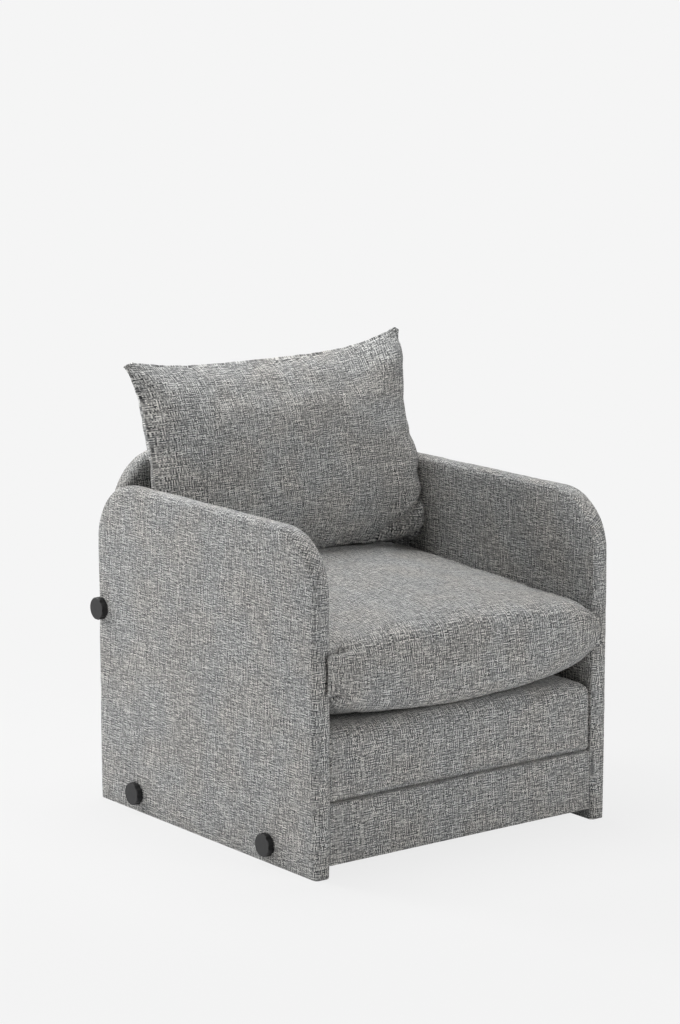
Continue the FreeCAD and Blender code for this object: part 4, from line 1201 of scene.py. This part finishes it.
cushion = {
    "tilt": 11,  # degrees back
    "halfWidth": 293 * mm,
    "halfHeight": 190 * mm,
    "halfDepth": 71 * mm,
    "topBelow": 212 * mm,  # from the top of its solid to the middle of the cushion
    "ear": (42 * mm, 28 * mm),
    "foot": (8 * mm, 10 * mm),
    "twist": (26 * mm, 4 * mm),  # left, right
    "flank": (15 * mm, 24 * mm),
    "lump": 22 * mm,  # how far the lower right corner is pushed forward by the arm
    "tip": (6 * mm, 11 * mm),  # how far the left ear hangs and the right one stands up
    "cornerFrom": (204 * mm, 224 * mm),  # height of the left and the right upper corner
    "columns": 77,
    "rows": 53,
    "filling": {
        "pressure": 4.0,
        "spare": 0.02,
        "stiffness": 10,
        "bending": 0.3,
        "frames": 20,
        "cap": 18 * mm,
    },
    "outside": 5 * mm,
    "inside": 2 * mm,
    "fill": 0.8,
    # folds on the front: points x, z in metres, depth, width, strength at the start and the end
    "folds": [
        ([(-0.296, 0.104), (-0.262, 0.109), (-0.216, 0.108)], 2.6 * mm, 5 * mm, (1, 0)),
        ([(-0.165, 0.168), (-0.138, 0.160)], 1.4 * mm, 4 * mm, (0, 0)),
        ([(-0.262, -0.036), (-0.205, -0.046)], 1.6 * mm, 5 * mm, (0, 0)),
        ([(0.200, -0.182), (0.237, -0.160), (0.300, -0.112)], 9 * mm, 6.5 * mm, (0.6, 1)),
        ([(0.226, -0.212), (0.262, -0.200), (0.310, -0.170)], 7 * mm, 6 * mm, (0.6, 1)),
        ([(0.300, 0.150), (0.250, 0.100), (0.215, 0.040)], 2.4 * mm, 10 * mm, (1, 0)),
        ([(-0.300, -0.190), (-0.250, -0.140), (-0.220, -0.090)], 2.6 * mm, 9 * mm, (1, 0)),
    ],
}
lean = Matrix.Rotation(math.radians(-cushion["tilt"]), 3, "X")
upright = coordinates(nodes["back_cushion_cover"]) @ np.array(lean)  # undoes the lean
cushionSpot = Vector((
    (upright[:, 0].min() + upright[:, 0].max()) / 2,
    (upright[:, 1].min() + upright[:, 1].max()) / 2,
    upright[:, 2].max() - cushion["topBelow"],
))


def cushionPanel(way):
    # front or rear panel over a square from -1 to 1, with its place on the cloth
    a = gradedSteps(cushion["columns"], 1.6)[:, None] * np.ones((1, cushion["rows"]))
    b = gradedSteps(cushion["rows"], 1.6)[None, :] * np.ones((cushion["columns"], 1))
    upper = b > 0
    earX = np.where(upper, cushion["ear"][0] * np.abs(b) ** 5, cushion["foot"][0] * np.abs(b) ** 4)
    earZ = np.where(upper, cushion["ear"][1], cushion["foot"][1]) * np.abs(a) ** 4
    x = a * (cushion["halfWidth"] + earX * np.abs(a) ** 1.5)
    z = b * (cushion["halfHeight"] + earZ * np.abs(b))
    crown = (1 - np.abs(a) ** 3.4) ** 0.5 * (1 - np.abs(b) ** 2.8) ** 0.6
    # fuller towards the foot, where the filling settles
    fuller = 1.04 - 0.10 * smooth((b + 1) / 2)
    y = way * cushion["halfDepth"] * crown * fuller
    u, v = a * 0.316 + 0.5, b * 0.212 + (0.3 if way < 0 else 1.1)
    return np.stack((x, y, z), axis=2), np.stack((u, v), axis=2)


def settleCushion(points):
    # the filled cover sits a little twisted: the left seam turns to the front and the right one to the
    # back, the cloth behind the left seam and before the right one bulges, and the right ear stands higher
    points = points.copy()
    x, y, z = points.T
    right = x > 0
    side = np.sign(x)
    fadeFrom = np.where(right, 225 * mm, 160 * mm)
    edge = smooth((np.abs(x) - 205 * mm) / (85 * mm)) * smooth((fadeFrom - z) / (75 * mm))
    edge *= smooth((z + 215 * mm) / (50 * mm))
    # the panel that the seam comes towards is flatter, the other one is fuller
    fuller = np.where(side * y < 0, 1 + 0.4 * edge, 1 - 0.5 * edge)
    turned = y * fuller + np.where(right, cushion["twist"][1], -cushion["twist"][0]) * edge
    behind = -side * y
    flank = edge * smooth(1 + behind / (60 * mm)) * smooth(1 - behind / (75 * mm))
    tip = smooth((z + 20 * mm) / (230 * mm)) * np.abs(x / (330 * mm)) ** 3
    points[:, 0] = x + np.where(right, cushion["flank"][1], -cushion["flank"][0]) * flank
    lump = smooth((points[:, 0] - 190 * mm) / (90 * mm)) * smooth((70 * mm - z) / (110 * mm))
    lump *= smooth((14 * mm - y) / (30 * mm))
    points[:, 1] = turned - cushion["lump"] * lump
    points[:, 2] = z + np.where(right, cushion["tip"][1], -cushion["tip"][0]) * tip
    for sign, top in zip((-1, 1), cushion["cornerFrom"]):
        points = roundCorner(points, 0, 2, sign * 337 * mm, (top, 1), 26 * mm, 26 * mm)
    return points


frontPanel, frontUv = cushionPanel(-1)
rearPanel, rearUv = cushionPanel(1)
bm = bmesh.new()
layer = bm.loops.layers.uv.new("weave")
for panel, uv in ((frontPanel, frontUv), (rearPanel, rearUv)):
    grid = [[bm.verts.new(panel[i, j]) for j in range(cushion["rows"])] for i in range(cushion["columns"])]
    for i in range(cushion["columns"] - 1):
        for j in range(cushion["rows"] - 1):
            ring = ((i, j), (i + 1, j), (i + 1, j + 1), (i, j + 1))
            face = bm.faces.new([grid[p][q] for p, q in ring])
            for loop, (p, q) in zip(face.loops, ring):
                loop[layer].uv = uv[p, q]
backCushion = finishMesh(bm, "backCushionCover")
points = coordinates(backCushion)
seamPoints = np.abs(points[:, 1]) < 0.01 * mm
inflate(backCushion, cushion["filling"], np.nonzero(seamPoints)[0])
points = coordinates(backCushion)
moveVertices(backCushion, (points + np.array(cushionSpot)) @ np.array(lean).T)
keepNear(backCushion, "back_cushion_cover", cushion["outside"], cushion["inside"], seamPoints)
subdivided(backCushion)
points = coordinates(backCushion) @ np.array(lean) - np.array(cushionSpot)
normals = vertexNormals(backCushion) @ np.array(lean)
depths = points[:, 1]
points = settleCushion(points)
front = smooth((6 * mm - depths) / (6 * mm))
amount = 0
for path, depth, width, ends in cushion["folds"]:
    amount = amount + crease(points, points[:, [0, 2]], path, depth, width, front, ends)
unevenness = 1.5 * mm * ripple(points, 130 * mm, 51) + 0.5 * mm * ripple(points, 48 * mm, 52)
amount += unevenness * smooth(np.abs(depths) / (25 * mm))
points += normals * amount[:, None]
# the arms hold it in
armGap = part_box("right_arm_cover")[0].x - cushionSpot.x - 1 * mm
low = points[:, 2] < 0
points[low, 0] = np.minimum(points[low, 0], armGap)
moveVertices(backCushion, (points + np.array(cushionSpot)) @ np.array(lean).T)
outline = np.concatenate((frontPanel[:, 0], frontPanel[-1, :], frontPanel[::-1, -1], frontPanel[0, ::-1]))
outline = settleCushion(closeLine(outline, 1.5 * mm))
seamRidge(backCushion, (outline + np.array(cushionSpot)) @ np.array(lean).T, 1.8 * mm, 2.2 * mm)
rideAs(backCushion, "back_cushion", "back_cushion_cover", "back_cushion_fill", fill=cushion["fill"])
print("back cushion made")


# Cloth hinges and dust cloth

def clothStrip(name, profile, halfWidth, step):
    # a strip of cloth that runs along x, from its profile in y and z
    count = max(2, round(2 * halfWidth / step))
    xs = np.linspace(-halfWidth, halfWidth, count + 1)
    profile = np.array(profile)
    walked = np.concatenate(([0], np.cumsum(np.linalg.norm(np.diff(profile, axis=0), axis=1))))
    points = np.array([[(x, y, z) for x in xs] for y, z in profile])
    uv = np.array([[(x, w) for x in xs] for w in walked])
    return finishMesh(sheetMesh(points, [(0, len(profile) - 1, uv)], False), name), walked[-1]


hinge = {
    "halfWidth": 291 * mm,
    "loop": 1.1 * mm,     # how far the bend stands out past the leaves
    "leafPoints": 6,
    "bendSteps": 6,
    "step": 12 * mm,
    "stitchInset": 6 * mm,
    "stitchEnd": 8 * mm,  # from the end of a leaf
    "stitchRise": 0.12 * mm,
    "stitches": {
        "Spacing": 4.5 * mm,
        "Size": (3.4 * mm, 0.7 * mm, 0.2 * mm),
        "Rounded": True,
        "Wobble": 0.0,
    },
}
# lower leaf, upper leaf, the bodies they ride, and the piece that the strip rests on
hinges = {
    "frontHinge": (
        "front_hinge_lower_leaf",
        "front_hinge_upper_leaf",
        "chair_frame",
        "middle_section",
        "baseCover",
    ),
    "rearHinge": (
        "rear_hinge_lower_leaf",
        "rear_hinge_upper_leaf",
        "middle_section",
        "seat_pad",
        "middleSectionCover",
    ),
}
for name, (lower, upper, below, above, restsOn) in hinges.items():
    low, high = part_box(lower)
    topLow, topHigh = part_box(upper)
    lowZ, highZ = (low.z + high.z) / 2, (topLow.z + topHigh.z) / 2
    front = name == "frontHinge"
    foldY, innerY = (low.y, high.y) if front else (high.y, low.y)
    way = -1 if front else 1
    leaf = np.linspace(innerY, foldY, hinge["leafPoints"])
    angles = np.linspace(-math.pi / 2, math.pi / 2, hinge["bendSteps"] + 1)[1:-1]
    middleZ, halfZ = (lowZ + highZ) / 2, (highZ - lowZ) / 2
    bend = [(foldY + way * hinge["loop"] * math.cos(t), middleZ + halfZ * math.sin(t)) for t in angles]
    profile = [(y, lowZ) for y in leaf] + bend + [(y, highZ) for y in leaf[::-1]]
    strip, length = clothStrip(name, profile, hinge["halfWidth"], hinge["step"])
    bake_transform(strip)
    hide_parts(lower, upper)

dust = {
    "step": 16 * mm,
    "sag": 1.5 * mm,
    "stapleInset": 9 * mm,
    "stapleEnd": 30 * mm,  # from a corner to the first staple
    "staples": {
        "Spacing": 62 * mm,
        "Size": (10 * mm, 1.2 * mm, 0.6 * mm),
        "Rounded": False,
        "Wobble": 0.15,
    },
}
low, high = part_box("base_dust_cover")
xs = np.linspace(low.x, high.x, round((high.x - low.x) / dust["step"]) + 1)
ys = np.linspace(low.y, high.y, round((high.y - low.y) / dust["step"]) + 1)
middleX, middleY = (low.x + high.x) / 2, (low.y + high.y) / 2
points = np.zeros((len(xs), len(ys), 3))
for i, x in enumerate(xs):
    for j, y in enumerate(ys):
        a, b = abs(2 * (x - middleX) / (high.x - low.x)), abs(2 * (y - middleY) / (high.y - low.y))
        inside = (1 - a ** 6) * (1 - b ** 6)
        points[i, j] = (x, y, (low.z + high.z) / 2 - dust["sag"] * inside)
bm = sheetMesh(points, [(0, len(xs) - 1, points[:, :, :2])], False)
dustSheet = finishMesh(bm, "dustCloth", finishes["dust_cloth"])
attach(dustSheet, "chair_frame")
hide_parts("base_dust_cover")
print("hinges and dust cloth made")


# What repeats along a line: staples and stitches

def repeatTree():
    # instances of one small form along a line, its length along the line and its height along "outward"
    tree = bpy.data.node_groups.new("repeat along a line", "GeometryNodeTree")
    for name, kind in (
        ("Geometry", "NodeSocketGeometry"),
        ("Spacing", "NodeSocketFloat"),
        ("Size", "NodeSocketVector"),
        ("Rounded", "NodeSocketBool"),
        ("Wobble", "NodeSocketFloat"),
        ("Material", "NodeSocketMaterial"),
    ):
        tree.interface.new_socket(name, in_out="INPUT", socket_type=kind)
    tree.interface.new_socket("Geometry", in_out="OUTPUT", socket_type="NodeSocketGeometry")
    given = tree.nodes.new("NodeGroupInput").outputs
    line = addNode(tree, "GeometryNodeMeshToCurve", {"Mesh": given["Geometry"]})
    spaced = addNode(tree, "GeometryNodeResampleCurve", {
        "Curve": line,
        "Length": given["Spacing"],
    }, mode="LENGTH")
    outward = addNode(tree, "GeometryNodeInputNamedAttribute", {
        "Name": "outward",
    }, data_type="FLOAT_VECTOR")
    tangent = addNode(tree, "GeometryNodeInputTangent")
    turned = addNode(tree, "FunctionNodeAxesToRotation", {
        0: tangent,
        1: outward.outputs["Attribute"],
    }, primary_axis="X", secondary_axis="Z")
    block = addNode(tree, "GeometryNodeMeshCube", {"Size": (1, 1, 1)})
    bead = addNode(tree, "GeometryNodeMeshUVSphere", {"Segments": 8, "Rings": 4, "Radius": 0.5})
    form = addNode(tree, "GeometryNodeSwitch", {
        "Switch": given["Rounded"],
        "False": block,
        "True": bead,
    }, input_type="GEOMETRY")
    placed = addNode(tree, "GeometryNodeInstanceOnPoints", {
        "Points": spaced,
        "Instance": form,
        "Rotation": turned,
        "Scale": given["Size"],
    })
    least = addNode(tree, "ShaderNodeMath", {0: given["Wobble"], 1: -1.0}, operation="MULTIPLY")
    chance = addNode(tree, "FunctionNodeRandomValue", {
        "Min": least,
        "Max": given["Wobble"],
        "Seed": 7,
    }, data_type="FLOAT")
    twist = addNode(tree, "ShaderNodeCombineXYZ", {"Z": chance.outputs[1]})
    uneven = addNode(tree, "GeometryNodeRotateInstances", {"Instances": placed, "Rotation": twist})
    real = addNode(tree, "GeometryNodeRealizeInstances", {"Geometry": uneven})
    painted = addNode(tree, "GeometryNodeSetMaterial", {"Geometry": real, "Material": given["Material"]})
    addNode(tree, "NodeGroupOutput", {"Geometry": painted})
    return tree


repeater = repeatTree()


def alongLines(name, body, lines, outward, settings, material):
    mesh = bpy.data.meshes.new(name)
    points, edges = [], []
    for line in lines:
        edges += [(len(points) + i, len(points) + i + 1) for i in range(len(line) - 1)]
        points += [tuple(point) for point in line]
    mesh.from_pydata(points, edges, [])
    direction = mesh.attributes.new("outward", "FLOAT_VECTOR", "POINT")
    direction.data.foreach_set("vector", list(outward) * len(points))
    guide = bpy.data.objects.new(name, mesh)
    scene.collection.objects.link(guide)
    modifier = guide.modifiers.new("repeat", "NODES")
    modifier.node_group = repeater
    values = {**settings, "Material": material}
    for item in repeater.interface.items_tree:
        if item.in_out == "INPUT" and item.name in values:
            modifier[item.identifier] = values[item.name]
    guide.data.update()
    made = bpy.data.meshes.new_from_object(guide.evaluated_get(bpy.context.evaluated_depsgraph_get()))
    bpy.data.objects.remove(guide)
    piece = bpy.data.objects.new(name, made)
    scene.collection.objects.link(piece)
    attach(piece, body)


low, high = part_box("base_dust_cover")
inset, clear = dust["stapleInset"], dust["stapleInset"] + dust["stapleEnd"]
under = low.z - 0.1 * mm
stapleLines = []
for y in (low.y + inset, high.y - inset):
    stapleLines.append([(low.x + clear, y, under), (high.x - clear, y, under)])
for x in (low.x + inset, high.x - inset):
    stapleLines.append([(x, low.y + clear, under), (x, high.y - clear, under)])
steel = finishes["zinc_steel"]
alongLines("dustClothStaples", "chair_frame", stapleLines, (0, 0, -1), dust["staples"], steel)

# rows of lockstitch hold the hinge leaves; they show when the bed is folded out
for name, (lower, upper, below, above, _) in hinges.items():
    for leaf, body, up in ((lower, below, 1), (upper, above, -1)):
        low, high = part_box(leaf)
        edgeY = high.y - hinge["stitchInset"] if name == "frontHinge" else low.y + hinge["stitchInset"]
        height = (low.z + high.z) / 2 + up * hinge["stitchRise"]
        reach = hinge["halfWidth"] - hinge["stitchEnd"]
        row = [(-reach, edgeY, height), (reach, edgeY, height)]
        alongLines(f"{leaf}_stitches", body, [row], (0, 0, up), hinge["stitches"], finishes["thread"])
print("staples and stitches made")
